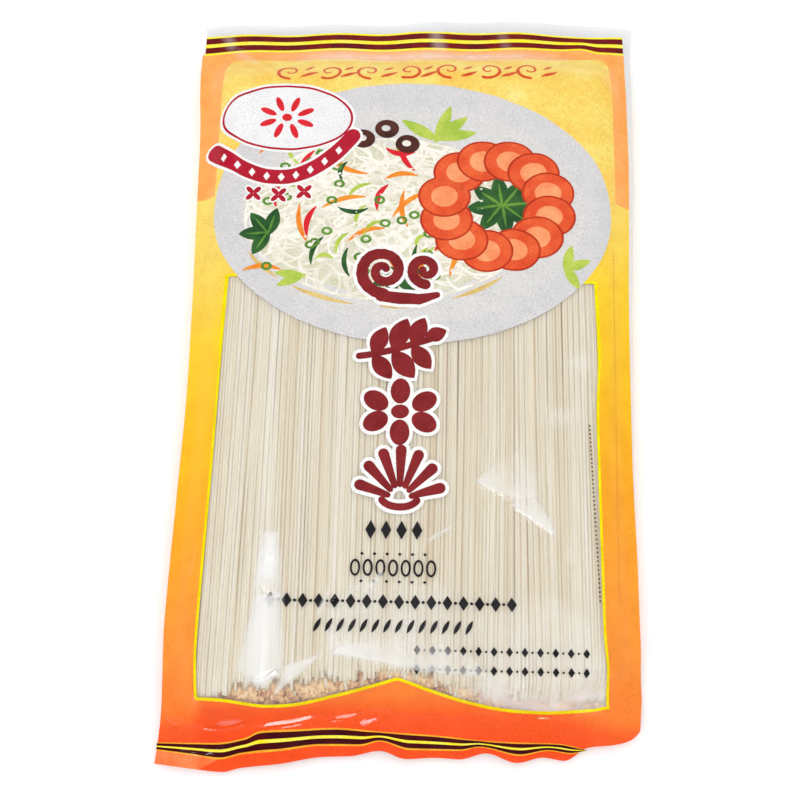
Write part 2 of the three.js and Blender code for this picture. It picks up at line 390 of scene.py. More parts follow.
# The picture on the plate
NEST_CENTRE = np.array((-10, 51))
NEST_RADII = np.array((53, 33))
NEST_STRANDS = 420
NEST_SPREAD = 0.6
CURL_RADII = (4, 15)
CURL_FLATNESS = 0.7
CURL_RUNS = (70, 210)
STRAND_HALVES = (0.4, 0.7)
SLICE_ROW_CENTRE = (31, 57)
SLICE_ROW_RADII = (20, 19)
SLICE_ROW_BEARINGS = (135, -190)
SLICE_COUNT = 12
SLICE_RADIUS = 9.6
DARK_RINGS = ((-20, 84), (-11, 88.5), (-3, 82))
RING_AREA = ((-55, 26), (14, 78))
RING_COUNT = 26
SAUCE_ARCS = ((205, 20), (232, 26), (268, 18), (296, 24), (326, 16))
STICK_AREA = ((-56, 28), (18, 82))
STICK_LENGTHS = (0.7, 1.15)
STICK_BEND = 1.6
# Sticks: ink, how many, length, half width and level
STICKS = (("orange", "carrot", 15, 15, 1.0, 1.95), ("red", "red", 8, 12, 1.15, 2.0),
          ("green", "leaf_dark", 7, 11, 0.95, 2.05), ("pale", "leaf_light", 12, 9, 0.8, 1.95))
# Sprays of leaves: middle, length and width of a leaf, and the bearings
LEAF_SPRAYS = (
    ("plate_leaves_dark", "leaf_dark", 2.2,
     ((33, 57, 15, 6.4, range(8, 368, 45)), (33, 57, 8, 4, range(30, 390, 60)),
      (-54, 44, 12, 5.4, (75, 130, 185, 240)), (-6, 27, 10, 4.4, (200, 250, 320)))),
    ("plate_leaf_veins", "leaf", 2.35,
     ((33, 57, 11, 1.1, range(8, 368, 45)), (-54, 44, 9, 0.9, (75, 130, 185, 240)))),
    ("plate_leaves_light", "leaf_light", 2.1,
     ((8, 85, 17, 4.6, (10, 40, 70, 150)), (-40, 27, 12, 3.4, (175, 205)), (56, 32, 11, 3.8, (20, 75, 300)))),
)

# The badge, the ornaments and the line of curls
BADGE_CENTRE = (-49.5, 92.5)
BADGE_RADII = (24.5, 13.2)
BAND_POINTS = ((-77.5, 80), (-49.7, 67), (-24, 85))
BAND_HALF = 3.0
MARK_PLACES = ((-60.5, 60), (-51, 59.5), (-41.5, 61))
ORNAMENT_PLACES = ((-4.5, 28), (-4.1, 1.2), (-3.5, -24.2), (-3, -48.4))
ORNAMENT_EDGE = 1.3
DOT_ROWS = (("inner", "olive_dots", 42, 0.36, (63.3, 65.3), (-28, -89)),
            ("outer", "faint_dots", 90, 0.24, (74.9, 72.8), (41, -88)))
SCROLL_X = (-50, 44)
SCROLL_CURLS = 7
SCROLL_Y = 116
SCROLL_RISE = 2

# Noodles
NOODLE_RADIUS = 0.6
NOODLE_PITCH = 1.08
BLOCK_HALF_WIDTH = 74
BLOCK_LOW = ((-74, -125.5), (-59, -123.8), (-54, -119.4), (-36, -118), (-28, -116.4), (-14, -115.8),
             (-4, -113.4), (4, -114.2), (14, -117.4), (26, -121), (40, -123), (52, -123), (60, -121.5),
             (66, -121), (74, -115))
BLOCK_HIGH = 119
# Steps at each end and in the middle of a noodle, and sides of a noodle, layer by layer from the top
NOODLE_LAYERS = (((10, 20), 7), ((10, 20), 7), ((7, 10), 5), ((7, 10), 5))
NOODLE_LAYER_DROP = 0.55
NOODLE_CLEARANCE = 0.5
NOODLE_ABOVE_BACK = 0.9
NOODLE_STRAY = 0.12
LOW_END_STRAY = 0.9
HIGH_END_STRAY = 1.2
RADIUS_SPREAD = 0.06
END_INSET = 1.0
END_STEP = 0.3
MEAN_TONE = 0.62
TONE_SPREAD = 0.1
LAYER_SHADE = 0.25
DARK_SIDE = 0.2
DARK_SIDE_X = (-62, -68)
CRUMB_COUNT = 20
CRUMB_X = (-52, 40)
CRUMB_DROP = (-0.5, 4.5)
CRUMB_TURN = 0.35
CRUMB_HALVES = (0.5, 2.0)
CRUMB_RADIUS = (0.9, 0.08)
CRUMB_ABOVE_PLY = 0.2
CRUMB_TONES = (0.2, 0.9)
PLY_X = (-76, 72)
PLY_HIGH = -106
PLY_BELOW_WINDOW = 2.5
PLY_DEPTHS = (1.5, 6.5)
PLY_RUN = 13
PLY_ABOVE_BACK = 0.4
NOODLE_END_RUN = 24
CORE_INSET = 6
CORE_DEPTH = 1 + NOODLE_LAYER_DROP * (len(NOODLE_LAYERS) - 0.2)
CORE_RIBS = 0.25
CORE_ABOVE_BACK = 0.8
CORE_LEAST_Z = 1.0
CORE_LEAST_HEIGHT = 0.4
# The core's dark tone is painted shade below the noodles that show
CORE_SHADE_TONE = 0.1

# Camera, as in the photograph
LENS = 50
CAMERA_DISTANCE = 402
CAMERA_ELEVATION = 73
CAMERA_AZIMUTH = 1.3
CAMERA_AIM = (-3.65, -17.55, 8)

# Floor and light, in metres. Each softbox has its place, size and radiance, and either lights or is mirrored.
FLOOR_REACH = 3.0
WORLD_STRENGTH = 1.0
LIGHT_AIM = (0, -0.02, 0)
SOFTBOXES = {
    "key": ((-0.12, -0.1, 1.0), (0.36, 0.5), 3, True),
    "mirrored_low": ((0.015, 0.08, 0.98), (0.56, 0.48), 4, False),
    "mirrored_high": ((0.0, 0.85, 0.98), (1.0, 0.7), 4, False),
    "mirrored_front": ((-0.05, -0.8, 0.85), (1.2, 0.8), 5, False),
}

rng = np.random.default_rng(SEED)


# Shape of the bag

def smooth(t):
    c = np.clip(t, 0, 1)
    return c * c * (3 - 2 * c)


def step(t, low, high):
    """0 at low and 1 at high, with a soft change between them"""
    return smooth((t - low) / (high - low))


def mix(a, b, t):
    return a + (b - a) * t


def curve(points, t):
    """A smooth line through the points that never overshoots them"""
    x, y = np.array(points, float).T
    run = np.diff(x)
    grade = np.diff(y) / run
    lean = np.concatenate([grade[:1], np.zeros(len(x) - 2), grade[-1:]])
    before, after = grade[:-1], grade[1:]
    steady = before * after > 0
    total = np.where(steady, before + after, 1)
    lean[1:-1] = np.where(steady, 2 * before * after / total, 0)
    i = np.clip(np.searchsorted(x, t) - 1, 0, len(run) - 1)
    s = np.clip((t - x[i]) / run[i], 0, 1)
    bend = s * (1 - s) * run[i]
    return mix(y[i], y[i + 1], smooth(s)) + bend * ((1 - s) * lean[i] - s * lean[i + 1])


def half_width(y, side):
    return np.where(side < 0, curve(LEFT_SIDE, y), curve(RIGHT_SIDE, y))


def top_edge(x):
    return curve(TOP_EDGE, x)


def bottom_edge(x):
    return curve(LOW_EDGE, x)


def from_sides(x, y):
    return half_width(y, x) - np.abs(x)


def from_ends(x, y):
    return np.minimum(top_edge(x) - y, y - bottom_edge(x))


def end_rise(x, y):
    low = smooth((y - bottom_edge(x) - SEAL_WIDTH) / LOW_END_RUN)
    return low * smooth((top_edge(x) - y - SEAL_WIDTH) / HIGH_END_RUN)


def body_rise(x, y):
    """0 along the seals and the side creases, and 1 on the full body"""
    return end_rise(x, y) * (1 - (1 - smooth(from_sides(x, y) / SHOULDER)) ** SHOULDER_FULLNESS)


def crease_z(x, y):
    wave = SEAL_WAVE * np.sin(2 * math.pi * x / SEAL_WAVE_PERIOD + np.where(y > 0, *SEAL_WAVE_PHASES))
    return mix(SEAL_Z + wave, SIDE_CREASE_Z, end_rise(x, y))


def rim_share(x, y):
    """0 on the outline, where both films meet, and 1 a little way in"""
    return smooth(np.minimum(from_sides(x, y), from_ends(x, y)) / RIM_RUN)


def edge_half_thickness(x, y):
    down = smooth((SEAL_WIDTH + FOLD_RUN + bottom_edge(x) - y) / FOLD_RUN)
    return mix(EDGE_HALF_THICKNESS, FOLD_HALF_THICKNESS, step(x, *FOLD_X) * down) * rim_share(x, y)


def bumps(kind, x, y, layer=0):
    """Smooth random bumps of one kind, other ones for each layer"""
    height, width, length, number = kind
    size = BUMP_TABLE
    table = np.random.default_rng(SEED + number + layer).random((size, size)) * 2 - 1
    u, v = x / width, y / length
    i, j = np.floor(u).astype(int), np.floor(v).astype(int)
    low, high = (mix(table[i % size, n % size], table[(i + 1) % size, n % size], smooth(u - i))
                 for n in (j, j + 1))
    return height * mix(low, high, smooth(v - j))


def line_depth(a, b, x, y):
    """How far each point lies to the left of the line from a to b"""
    dx, dy = b[0] - a[0], b[1] - a[1]
    return (dx * (y - a[1]) - dy * (x - a[0])) / math.hypot(dx, dy)


def line_share(a, b, x, y):
    """How far each point lies along the line, from 0 at a to 1 at b"""
    dx, dy = b[0] - a[0], b[1] - a[1]
    return (dx * (x - a[0]) + dy * (y - a[1])) / (dx * dx + dy * dy)


def inside_depth(corners, x, y):
    """How far inside a convex outline each point lies; negative outside"""
    return np.min([line_depth(a, b, x, y) for a, b in zip(corners, corners[1:] + corners[:1])], axis=0)


def slack_height(x, y):
    heights = [height * smooth(inside_depth(corners, x, y) / rim) for height, rim, _, _, corners in SLACK]
    return np.max(heights, axis=0)


def slack_share(x, y, least=0.0, most=1.0):
    """How slack the film is, from 0 to 1, by the patches between these two shares; it is also how strong the
    painted reflection on it is
    """
    painted_reflection = np.zeros(np.shape(x))
    for _, rim, share, fade, corners in SLACK:
        if least <= share < most:
            faded = np.exp(-np.maximum(0, line_depth(*corners[:2], x, y)) / fade)
            painted_reflection = np.maximum(painted_reflection, share * faded * smooth(RIM_PAINTED_REFLECTION + inside_depth(corners, x, y) / rim))
    return painted_reflection


def streak_share(x, y):
    """How strong the painted reflection of the soft streaks is, from 0 to 1"""
    painted_reflection = np.zeros(np.shape(x))
    for half, share, a, b in STREAKS:
        t = line_share(a, b, x, y)
        ends = smooth(STREAK_END + STREAK_FADE * t) * smooth(STREAK_END + STREAK_FADE * (1 - t))
        painted_reflection = np.maximum(painted_reflection, share * ends * smooth(1 - np.abs(line_depth(a, b, x, y)) / half))
    return painted_reflection


def glint_gloss(x, y):
    """Gloss of the short wrinkles, widest at the middle of each"""
    gloss = np.zeros(np.shape(x))
    for a, b, half, share in GLINTS:
        t = line_share(a, b, x, y)
        middle = np.clip(4 * t * (1 - t), 0, 1)
        away = np.abs(line_depth(a, b, x, y)) / (half * np.sqrt(middle) + GLINT_TIP)
        gloss = np.maximum(gloss, share * smooth(GLINT_REACH - away) * (middle > 0))
    return gloss


def crease_height(crease, x, y):
    cx, cy, angle, length, left, right, height = crease
    a = math.radians(angle)
    along = (x - cx) * math.cos(a) + (y - cy) * math.sin(a)
    across = (y - cy) * math.cos(a) - (x - cx) * math.sin(a)
    blend = CREST_RADIUS * (1 / left + 1 / right)
    slope_a, slope_b = 1 - across / left, 1 + across / right
    facet = (slope_a + slope_b - np.sqrt((slope_a - slope_b) ** 2 + blend ** 2)) / 2
    taper = 1 - np.abs(2 * along / length) ** 3
    return height * np.maximum(0, facet) * np.maximum(0, taper)


def gathers(x, y):
    return np.maximum(0, 1 - np.abs((from_ends(x, y) - SEAL_WIDTH) / GATHER_RUN - 1))


def bundle_z(x, y):
    """Height of the front without its slack: the surface that the noodles lie under"""
    crease = crease_z(x, y)
    return crease + body_rise(x, y) * (CROWN - crease)


def ink_z(x, y):
    """The printed inside of the front film"""
    rise = body_rise(x, y)
    inside = smooth(from_sides(x, y) / SHOULDER)
    wave = GATHER * np.sin(2 * math.pi * x / GATHER_PERIOD + np.sign(y) + bumps(GATHER_SWAY, x, y))
    relief = gathers(x, y) * (bumps(SEAL_GATHERS, x, y) + wave) + slack_height(x, y)
    calm = 1 - slack_share(x, y)
    for height, period, phase, lean in RIBS:
        relief += calm * rise * height * np.sin(2 * math.pi * (x + lean * y * period) / period + phase)
    for kind in RIPPLES:
        relief += calm * mix(RIPPLE_AT_EDGE, 1, rise) * bumps(kind, x, y)
    return bundle_z(x, y) + edge_half_thickness(x, y) + inside * relief - INK_DEPTH * rim_share(x, y)


def front_z(x, y):
    """The outside of the front film, with the fine wrinkles that the ink below doesn't show"""
    wrinkles = sum(crease_height(crease, x, y) for crease in CREASES)
    ribbed = SIDE_RIBS * np.sin(2 * math.pi * y / SIDE_RIB_PERIOD)
    for place, (low, high), run in ((x, SIDE_RIBS_X, SIDE_RIB_RUNS[0]), (y, SIDE_RIBS_Y, SIDE_RIB_RUNS[1])):
        ribbed = ribbed * smooth((place - low) / run) * smooth((high - place) / run)
    sealed = smooth((SEAL_WIDTH - from_ends(x, y)) / CRIMP_RUN)
    wrinkles = wrinkles + ribbed + CRIMP * sealed * np.sin(2 * math.pi * x / CRIMP_PERIOD)
    return ink_z(x, y) + rim_share(x, y) * (INK_DEPTH + smooth(from_sides(x, y) / WRINKLE_RUN) * wrinkles)


def back_rise(x, y):
    """0 at the seals and creases, and 1 where the back lies flat on the floor"""
    return smooth(body_rise(x, y) * BELLY_GAIN)


def plain_back_z(x, y):
    """The back without its hollow and unevenness"""
    return (crease_z(x, y) - edge_half_thickness(x, y)) * (1 - back_rise(x, y))


def back_z(x, y):
    rise = back_rise(x, y)
    beside = np.maximum(0, np.maximum(FIN_X[0] - x, x - FIN_X[1]))
    hollow = FIN_HOLLOW * smooth(1 - beside / FIN_HOLLOW_RUN)
    return plain_back_z(x, y) + rise * (hollow + (1 - rise) * bumps(BACK_UNEVENNESS, x, y))


# Meshes

def add_object(name, data):
    thing = bpy.data.objects.new(name, data)
    bpy.context.scene.collection.objects.link(thing)
    return thing


def add_mesh(name, points, faces, material, slot, **attributes):
    """A piece of the pack; each attribute has a number for every point"""
    mesh = bpy.data.meshes.new(name)
    mesh.from_pydata((np.asarray(points, float) * MM).tolist(), [], [list(map(int, f)) for f in faces])
    mesh.shade_smooth()
    for label, values in attributes.items():
        layer = mesh.attributes.new(label, "FLOAT", "POINT")
        layer.data.foreach_set("value", np.asarray(values, np.float32).ravel())
    mesh.materials.append(material)
    mesh.update()
    piece = add_object(name, mesh)
    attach(piece, "root")
    return piece


def crowded(count):
    """Places from 0 to 1, closer together at both ends"""
    t = np.linspace(0, 1, count + 1)
    return mix(t, 0.5 - 0.5 * np.cos(math.pi * t), EDGE_CROWDING)


def outline_grid(columns, rows):
    """Points that fill the pack's outline, as two arrays of rows by columns"""
    v = crowded(rows)[:, None]
    u = (2 * crowded(columns) - 1)[None, :] * np.ones_like(v)
    x = u * half_width(LENGTH * (v - 0.5), u)
    return x, mix(bottom_edge(x), top_edge(x), v)


def grid_points(x, y, z):
    return np.stack([x, y, z], -1).reshape(-1, 3)


def grid_faces(x, start=0):
    rows, columns = x.shape
    a = (np.arange(rows - 1)[:, None] * columns + np.arange(columns - 1)).ravel() + start
    return np.stack([a, a + 1, a + columns + 1, a + columns], 1)


def closed_block(name, x, y, top, bottom, material, slot, **attributes):
    """A closed body between two height maps over one grid"""
    size = x.size
    index = np.arange(size).reshape(x.shape)
    rim = np.concatenate([index[0, :-1], index[:-1, -1], index[-1, :0:-1], index[:0:-1, 0]])
    ahead = np.roll(rim, -1)
    wall = np.stack([rim, rim + size, ahead + size, ahead], 1)
    faces = np.concatenate([grid_faces(x), grid_faces(x, size)[:, ::-1], wall])
    points = np.concatenate([grid_points(x, y, top), grid_points(x, y, bottom)])
    return add_mesh(name, points, faces, material, slot, **attributes)


# Flat shapes that are laid on the film

def xy(x, y):
    return np.stack([x, y], 1)


def turned(loop, turn, cx=0.0, cy=0.0):
    a = math.radians(turn)
    return loop @ np.array([[math.cos(a), math.sin(a)], [-math.sin(a), math.cos(a)]]) + (cx, cy)


def arch(cx, cy, rx, ry, start=0, end=360, steps=48):
    """Part of an ellipse, or all of it, from one bearing to another"""
    t = np.radians(np.linspace(start, end, steps, endpoint=end - start < 360))
    return xy(rx * np.cos(t), ry * np.sin(t)) + (cx, cy)


def ellipse(cx, cy, rx, ry, turn=0, steps=48):
    return turned(arch(0, 0, rx, ry, steps=steps), turn, cx, cy)


def leaf(cx, cy, length, width, turn, steps=14):
    """A pointed leaf shape"""
    t = np.linspace(0, 1, steps)
    side = xy(length * (t - 0.5), width / 2 * np.sin(math.pi * t) ** LEAF_FULLNESS)
    return turned(np.concatenate([side, (side * (1, -1))[-2:0:-1]]), turn, cx, cy)


def lozenge(cx, cy, width, height):
    return np.array([[-width, 0], [0, -height], [width, 0], [0, height]]) / 2 + (cx, cy)


def directions(p):
    """The unit vectors along a line of points and to its left"""
    along = np.gradient(p, axis=0)
    along /= np.linalg.norm(along, axis=1)[:, None] + TINY
    return along, xy(-along[:, 1], along[:, 0])


def stroke(points, half, cap_steps=7):
    """The outline of a line with round ends; half is its half width, one number or one for each point"""
    p = np.asarray(points, float)
    half = np.broadcast_to(np.asarray(half, float), len(p))
    along, normal = directions(p)
    turn = np.linspace(0, math.pi, cap_steps)[1:-1, None]
    left, right = p + normal * half[:, None], p - normal * half[:, None]
    caps = [p[n] + half[n] * side * (np.cos(turn) * normal[n] + np.sin(turn) * along[n])
            for n, side in ((-1, 1), (0, -1))]
    return np.concatenate([left, caps[0], right[::-1], caps[1]])


def resampled(loop, spacing):
    loop = np.asarray(loop, float)
    out = []
    for a, b in zip(loop, np.roll(loop, -1, axis=0)):
        steps = max(1, int(math.ceil(np.linalg.norm(b - a) / spacing)))
        out.append(a + (b - a) * (np.arange(steps) / steps)[:, None])
    return np.concatenate(out)


def inside_loop(points, loop):
    """Which points lie inside a closed loop, by counting the edges that a ray crosses"""
    x, y = points.T
    found = np.zeros(len(points), bool)
    for (x1, y1), (x2, y2) in zip(loop, np.roll(loop, -1, axis=0)):
        if y1 != y2:
            found ^= ((y1 > y) != (y2 > y)) & (x < (x2 - x1) * (y - y1) / (y2 - y1) + x1)
    return found


def inside_any(points, loops):
    found = np.zeros(len(points), bool)
    for loop in loops:
        near = np.all((points >= loop.min(0)) & (points <= loop.max(0)), axis=1)
        found[near] |= inside_loop(points[near], loop)
    return found


def filling(loops, spacing):
    """Evenly spaced points over the loops, none of them close to an edge"""
    edge = np.concatenate(loops)
    low, high = edge.min(0), edge.max(0)
    gy = np.arange(low[1], high[1], spacing * ROW_SPACING)
    x, y = np.meshgrid(np.arange(low[0], high[0], spacing), gy)
    x = x + np.where(np.arange(len(gy)) % 2, spacing / 2, 0)[:, None]
    points = xy(x.ravel(), y.ravel())
    cell = spacing * EDGE_CELL
    taken = set(map(tuple, np.floor(edge / cell).astype(int).tolist()))
    cells = np.floor(points / cell).astype(int).tolist()
    return points[[tuple(c) not in taken for c in cells]]


def triangulated(outlines, holes, spacing):
    outlines = [resampled(loop, spacing) for loop in outlines]
    holes = [resampled(loop, spacing) for loop in holes]

    def printed_at(places):
        return inside_any(places, outlines) & ~inside_any(places, holes)

    coords, edges = [], []
    for loop in outlines + holes:
        start = len(coords)
        coords.extend(map(Vector, loop))
        edges.extend((start + n, start + (n + 1) % len(loop)) for n in range(len(loop)))
    points = filling(outlines + holes, spacing)
    coords.extend(map(Vector, points[printed_at(points)]))
    verts, _, faces, *_ = delaunay_2d_cdt(coords, edges, [], 0, MERGE_DISTANCE, False)
    verts, faces = np.array([tuple(v) for v in verts]), np.array(faces)
    used, faces = np.unique(faces[printed_at(verts[faces].mean(1))], return_inverse=True)
    return verts[used], faces.reshape(-1, 3)


def under_film(points, level, back=False):
    """Points of the plan set on the inside of the front or back film"""
    x, y = points.T
    if back:
        z = back_z(x, y) + rim_share(x, y) * (BACK_INK_DEPTH + LEVEL_STEP * (1 - level))
    else:
        z = ink_z(x, y) - rim_share(x, y) * LEVEL_STEP * (TOP_LEVEL - level)
    return np.stack([x, y, z], 1)


def sheet(name, verts, faces, level, material, back=False, slot="print", **attributes):
    """A flat triangulated shape laid on the inside of the film, facing outwards"""
    a, b, c = (verts[faces[:, n]] for n in range(3))
    area = (b[:, 0] - a[:, 0]) * (c[:, 1] - a[:, 1]) - (b[:, 1] - a[:, 1]) * (c[:, 0] - a[:, 0])
    flip = (area < 0) != back
    faces[flip] = faces[flip][:, ::-1]
    return add_mesh(name, under_film(verts, level, back), faces, material, slot, **attributes)


def printed(name, outlines, level, colour, holes=(), spacing=PRINT_SPACING, back=False):
    """A field of ink just under the film. A higher level lies closer to the film."""
    sheet(name, *triangulated(outlines, holes, spacing), level, INKS[colour], back)


def fine(name, outlines, level, colour, holes=()):
    """Small printed shapes, on a finer mesh"""
    printed(name, outlines, level, colour, holes, FINE_SPACING)


def printed_pile(name, loops, covers, level, colour):
    """Ink shapes of one colour; each is cut away where the cover of the next one lies on it"""
    points, triangles = [], []
    start = 0
    for n, loop in enumerate(loops):
        verts, faces = triangulated([loop], covers[n + 1:n + 2], FINE_SPACING)
        points.append(verts)
        triangles.append(faces + start)
        start += len(verts)
    sheet(name, np.concatenate(points), np.concatenate(triangles), level, INKS[colour])


def ribbons(name, paths, halves, level, rise, material, tones):
    """Many thin painted lines as one piece; rise is how many levels the last lies above the first"""
    points, faces = [], []
    start = 0
    for n, (path, half) in enumerate(zip(paths, halves)):
        taper = np.sin(np.linspace(RIBBON_TIP, math.pi - RIBBON_TIP, len(path)))[:, None] ** 0.5
        side = directions(path)[1] * half * taper
        points.append(under_film(np.concatenate([path + side, path - side]), level + rise * n / len(paths)))
        a = np.arange(len(path) - 1) + start
        faces.append(np.stack([a, a + len(path), a + 1 + len(path), a + 1], 1))
        start += 2 * len(path)
    tone = np.repeat(tones, [2 * len(path) for path in paths])
    add_mesh(name, np.concatenate(points), np.concatenate(faces), material, "print", tone=tone)


# Materials

def linear(rgb):
    """A colour given as 8-bit sRGB, as the shader takes it"""
    c = np.array(rgb) / 255
    c = np.where(c <= 0.04045, c / 12.92, ((c + 0.055) / 1.055) ** 2.4)
    return (*c.tolist(), 1.0)


class Look:
    """A new material, with short ways to add the nodes that feed its shader"""

    def __init__(self, name, roughness=0.6, specular=0.0):
        self.material = bpy.data.materials.new(name)
        self.material.use_nodes = True
        self.nodes = self.material.node_tree.nodes
        self.shader = self.nodes["Principled BSDF"]
        self.give("Roughness", roughness)
        self.give("Specular IOR Level", specular)

    def plug(self, socket, value):
        """Gives a socket a number or a colour, or the output of a node"""
        if isinstance(value, bpy.types.NodeSocket):
            self.material.node_tree.links.new(value, socket)
        else:
            socket.default_value = value

    def give(self, name, value):
        self.plug(self.shader.inputs[name], value)

    def add(self, kind, output, inputs, **settings):
        """One output of a new node with these inputs and settings"""
        node = self.nodes.new("ShaderNode" + kind)
        for name, value in settings.items():
            setattr(node, name, value)
        for name, value in inputs.items():
            self.plug(node.inputs[name], value)
        return node.outputs[output]

    def place(self, stretch=(1, 1, 1)):
        """The position on the pack, in metres, stretched"""
        return self.add("Mapping", "Vector", {"Vector": self.add("TexCoord", "Object", {}), "Scale": stretch})

    def noise(self, scale, detail=3.0, stretch=(1, 1, 1)):
        inputs = {"Vector": self.place(stretch), "Scale": scale, "Detail": detail}
        return self.add("TexNoise", "Fac", inputs)

    def attribute(self, name):
        return self.add("Attribute", "Fac", {}, attribute_name=name)

    def mapped(self, value, low, high, start=0.0, end=1.0):
        """A value from start to end, stretched to low to high"""
        inputs = {"Value": value, "From Min": start, "From Max": end, "To Min": low, "To Max": high}
        return self.add("MapRange", "Result", inputs)

    def math(self, operation, a, b):
        return self.add("Math", "Value", {0: a, 1: b}, operation=operation)

    def ramp(self, value, *stops):
        """Colours along a value: stops are (position, 8-bit colour)"""
        node = self.nodes.new("ShaderNodeValToRGB")
        elements = node.color_ramp.elements
        while len(elements) < len(stops):
            elements.new(0.5)
        for element, (position, colour) in zip(elements, stops):
            element.position = position
            element.color = linear(colour)
        self.plug(node.inputs["Fac"], value)
        return node.outputs["Color"]

    def shaded(self, colour, shade, amount):
        """A colour multiplied by another one"""
        inputs = {MIX_FACTOR: amount, MIX_A: colour, MIX_B: shade}
        return self.add("Mix", MIX_RESULT, inputs, data_type="RGBA", blend_type="MULTIPLY")

    def grained(self, colour, low=INK_GRAIN, amount=0.8):
        """Gives the shader a colour with the fine grain of a print"""
        grain = self.ramp(self.noise(GRAIN_SCALE, 1.0), (0.32, (low, low, low)), (0.62, WHITE))
        self.give("Base Color", self.shaded(colour, grain, amount))


def ink(name, colour, other):
    """Ink of one colour that turns into another in soft patches"""
    look = Look(name)
    look.grained(look.ramp(look.noise(1 / MM / INK_PATCH), (0.35, colour), (0.65, other)))
    return look.material


def along_pack(look):
    """0 at the lower tip of the pack and 1 at the upper one, with the colours a little askew"""
    position = look.place()
    x, y = (look.add("SeparateXYZ", axis, {"Vector": position}) for axis in "XY")
    tilt = look.mapped(y, 0, FIELD_TILT, *(t * MM for t in FIELD_TILT_Y))
    level = look.math("SUBTRACT", y, look.math("MULTIPLY", x, tilt))
    for outer, inner in FIELD_DROP_X:
        level = look.math("ADD", level, look.mapped(x, FIELD_DROP * MM, 0, outer * MM, inner * MM))
    return look.mapped(level, 0, 1, -LENGTH / 2 * MM, LENGTH / 2 * MM)


def field_ink():
    """The border: pale yellow at the top, then gold and orange, and red-orange at the bottom"""
    look = Look("ink_field")
    colours = look.ramp(along_pack(look), *((y / LENGTH + 0.5, colour) for y, colour in FIELD_COLOURS))
    patches = look.ramp(look.noise(120), (0.3, (242, 234, 226)), (0.65, WHITE))
    look.grained(look.shaded(colours, patches, 0.7), FIELD_GRAIN, 1.0)
    return look.material


def wash_ink():
    """The yellow panel, like thin watercolour"""
    look = Look("ink_wash")
    colours = look.ramp(look.noise(60, 6.0), (0.3, (253, 205, 100)), (0.45, (251, 216, 106)),
                        (0.58, (251, 226, 122)), (0.74, (254, 236, 150)))
    veins = look.ramp(look.noise(420, 4.0), (0.38, (250, 232, 214)), (0.6, WHITE))
    look.grained(look.shaded(colours, veins, 0.5))
    return look.material


def toned_look(name, tones, roughness, specular, stretch):
    """Each strand takes its colour from its own tone, with fine streaks"""
    look = Look(name, roughness, specular)
    streaks = look.ramp(look.noise(1.0, 2.0, stretch), (0.3, (238, 232, 222)), (0.7, WHITE))
    look.give("Base Color", look.shaded(look.ramp(look.attribute("tone"), *tones), streaks, 0.7))
    return look


def noodle_material():
    """Dried rice noodle: off-white, a little glassy, with fine pores along it"""
    look = toned_look("dried_noodle", NOODLE_TONES, 0.42, 0.4, (900, 40, 900))
    pores = look.noise(3200, 2.0, (1, 0.12, 1))
    look.give("Normal", look.add("Bump", "Normal", {"Height": pores, "Strength": 0.3, "Distance": 0.05 * MM}))
    return look.material


def painted_shade_ply_material():
    """Back film behind the noodle ends, painted in streaks with the shade between the ends and warm light
    from the orange print
    """
    look = Look("inner_ply_painted_shade")
    patch = look.mapped(look.noise(90), -0.1, 0.14, 0.35, 0.65)
    tone = look.math("ADD", look.noise(1.0, 4.0, (1000, 190, 1000)), patch)
    look.give("Base Color", look.ramp(tone, *PLY_SHADE_TONES))
    return look.material


def film_material():
    """Clear film that mirrors a little, most where it lies smooth and where it is seen at a flat angle"""
    look = Look("clear_film", 0.1, 0.5)
    look.give("Base Color", (1, 1, 1, 1))
    look.give("Metallic", 1)
    smoothness = look.attribute("gloss")
    look.give("Roughness", look.mapped(smoothness, 0.35, 0.06, 0.0, 0.25))
    facing = look.add("LayerWeight", "Facing", {"Blend": 0.5})
    edge = look.math("MULTIPLY", look.math("POWER", facing, GLOSS_POWER), GLOSS_EDGE)
    share = look.math("ADD", edge, look.mapped(smoothness, GLOSS_AT_REST, GLOSS_WHERE_SLACK))
    clear = look.add("BsdfTransparent", "BSDF", {})
    blend = look.add("MixShader", "Shader", {0: share, 1: clear, 2: look.shader.outputs["BSDF"]})
    look.plug(look.nodes["Material Output"].inputs["Surface"], blend)
    return look.material


def haze_material(name, colour, alphas, stretch):
    """Film with a slight haze in soft patches"""
    look = Look(name)
    look.give("Base Color", linear(colour))
    look.give("Alpha", look.mapped(look.noise(1.0, 4.0, stretch), *alphas, 0.35, 0.65))
    return look.material


def painted_reflection_material():
    """Painted reflection of slack film: white, as strong as the mesh says"""
    look = Look("film_painted_reflection")
    look.give("Base Color", linear(PAINTED_REFLECTION_COLOUR))
    look.give("Alpha", look.attribute("haze"))
    return look.material


# The fields of the print

def window_low(x):
    """The window's lower edge: two shallow arcs that meet in a cusp"""
    return np.where(x < WINDOW_CUSP_X, curve(WINDOW_FOOT_LEFT, x), curve(WINDOW_FOOT_RIGHT, x))


def window_loop(line=0.0):
    """The window's outline, or with line = 1 the outside of the line round it"""
    y = np.linspace(WINDOW_LOW, WINDOW_TOP, 60)
    grow = line * (WINDOW_LINE + WINDOW_LINE_GAIN * step(y, *WINDOW_LINE_GAIN_Y))
    right = xy(curve(WINDOW_RIGHT, y) + grow, y)
    left = xy(curve(WINDOW_LEFT, y) - grow, y)[::-1]
    x = np.linspace(left[-1, 0], right[0, 0], 120)
    right[-1, 1] += line * WINDOW_LINE
    left[0, 1] += line * WINDOW_LINE
    return np.concatenate([xy(x, window_low(x) - line * WINDOW_LINE), right[1:], left[:-1]])


def plate_loop():
    return ellipse(*PLATE_CENTRE, *PLATE_RADII, steps=120)


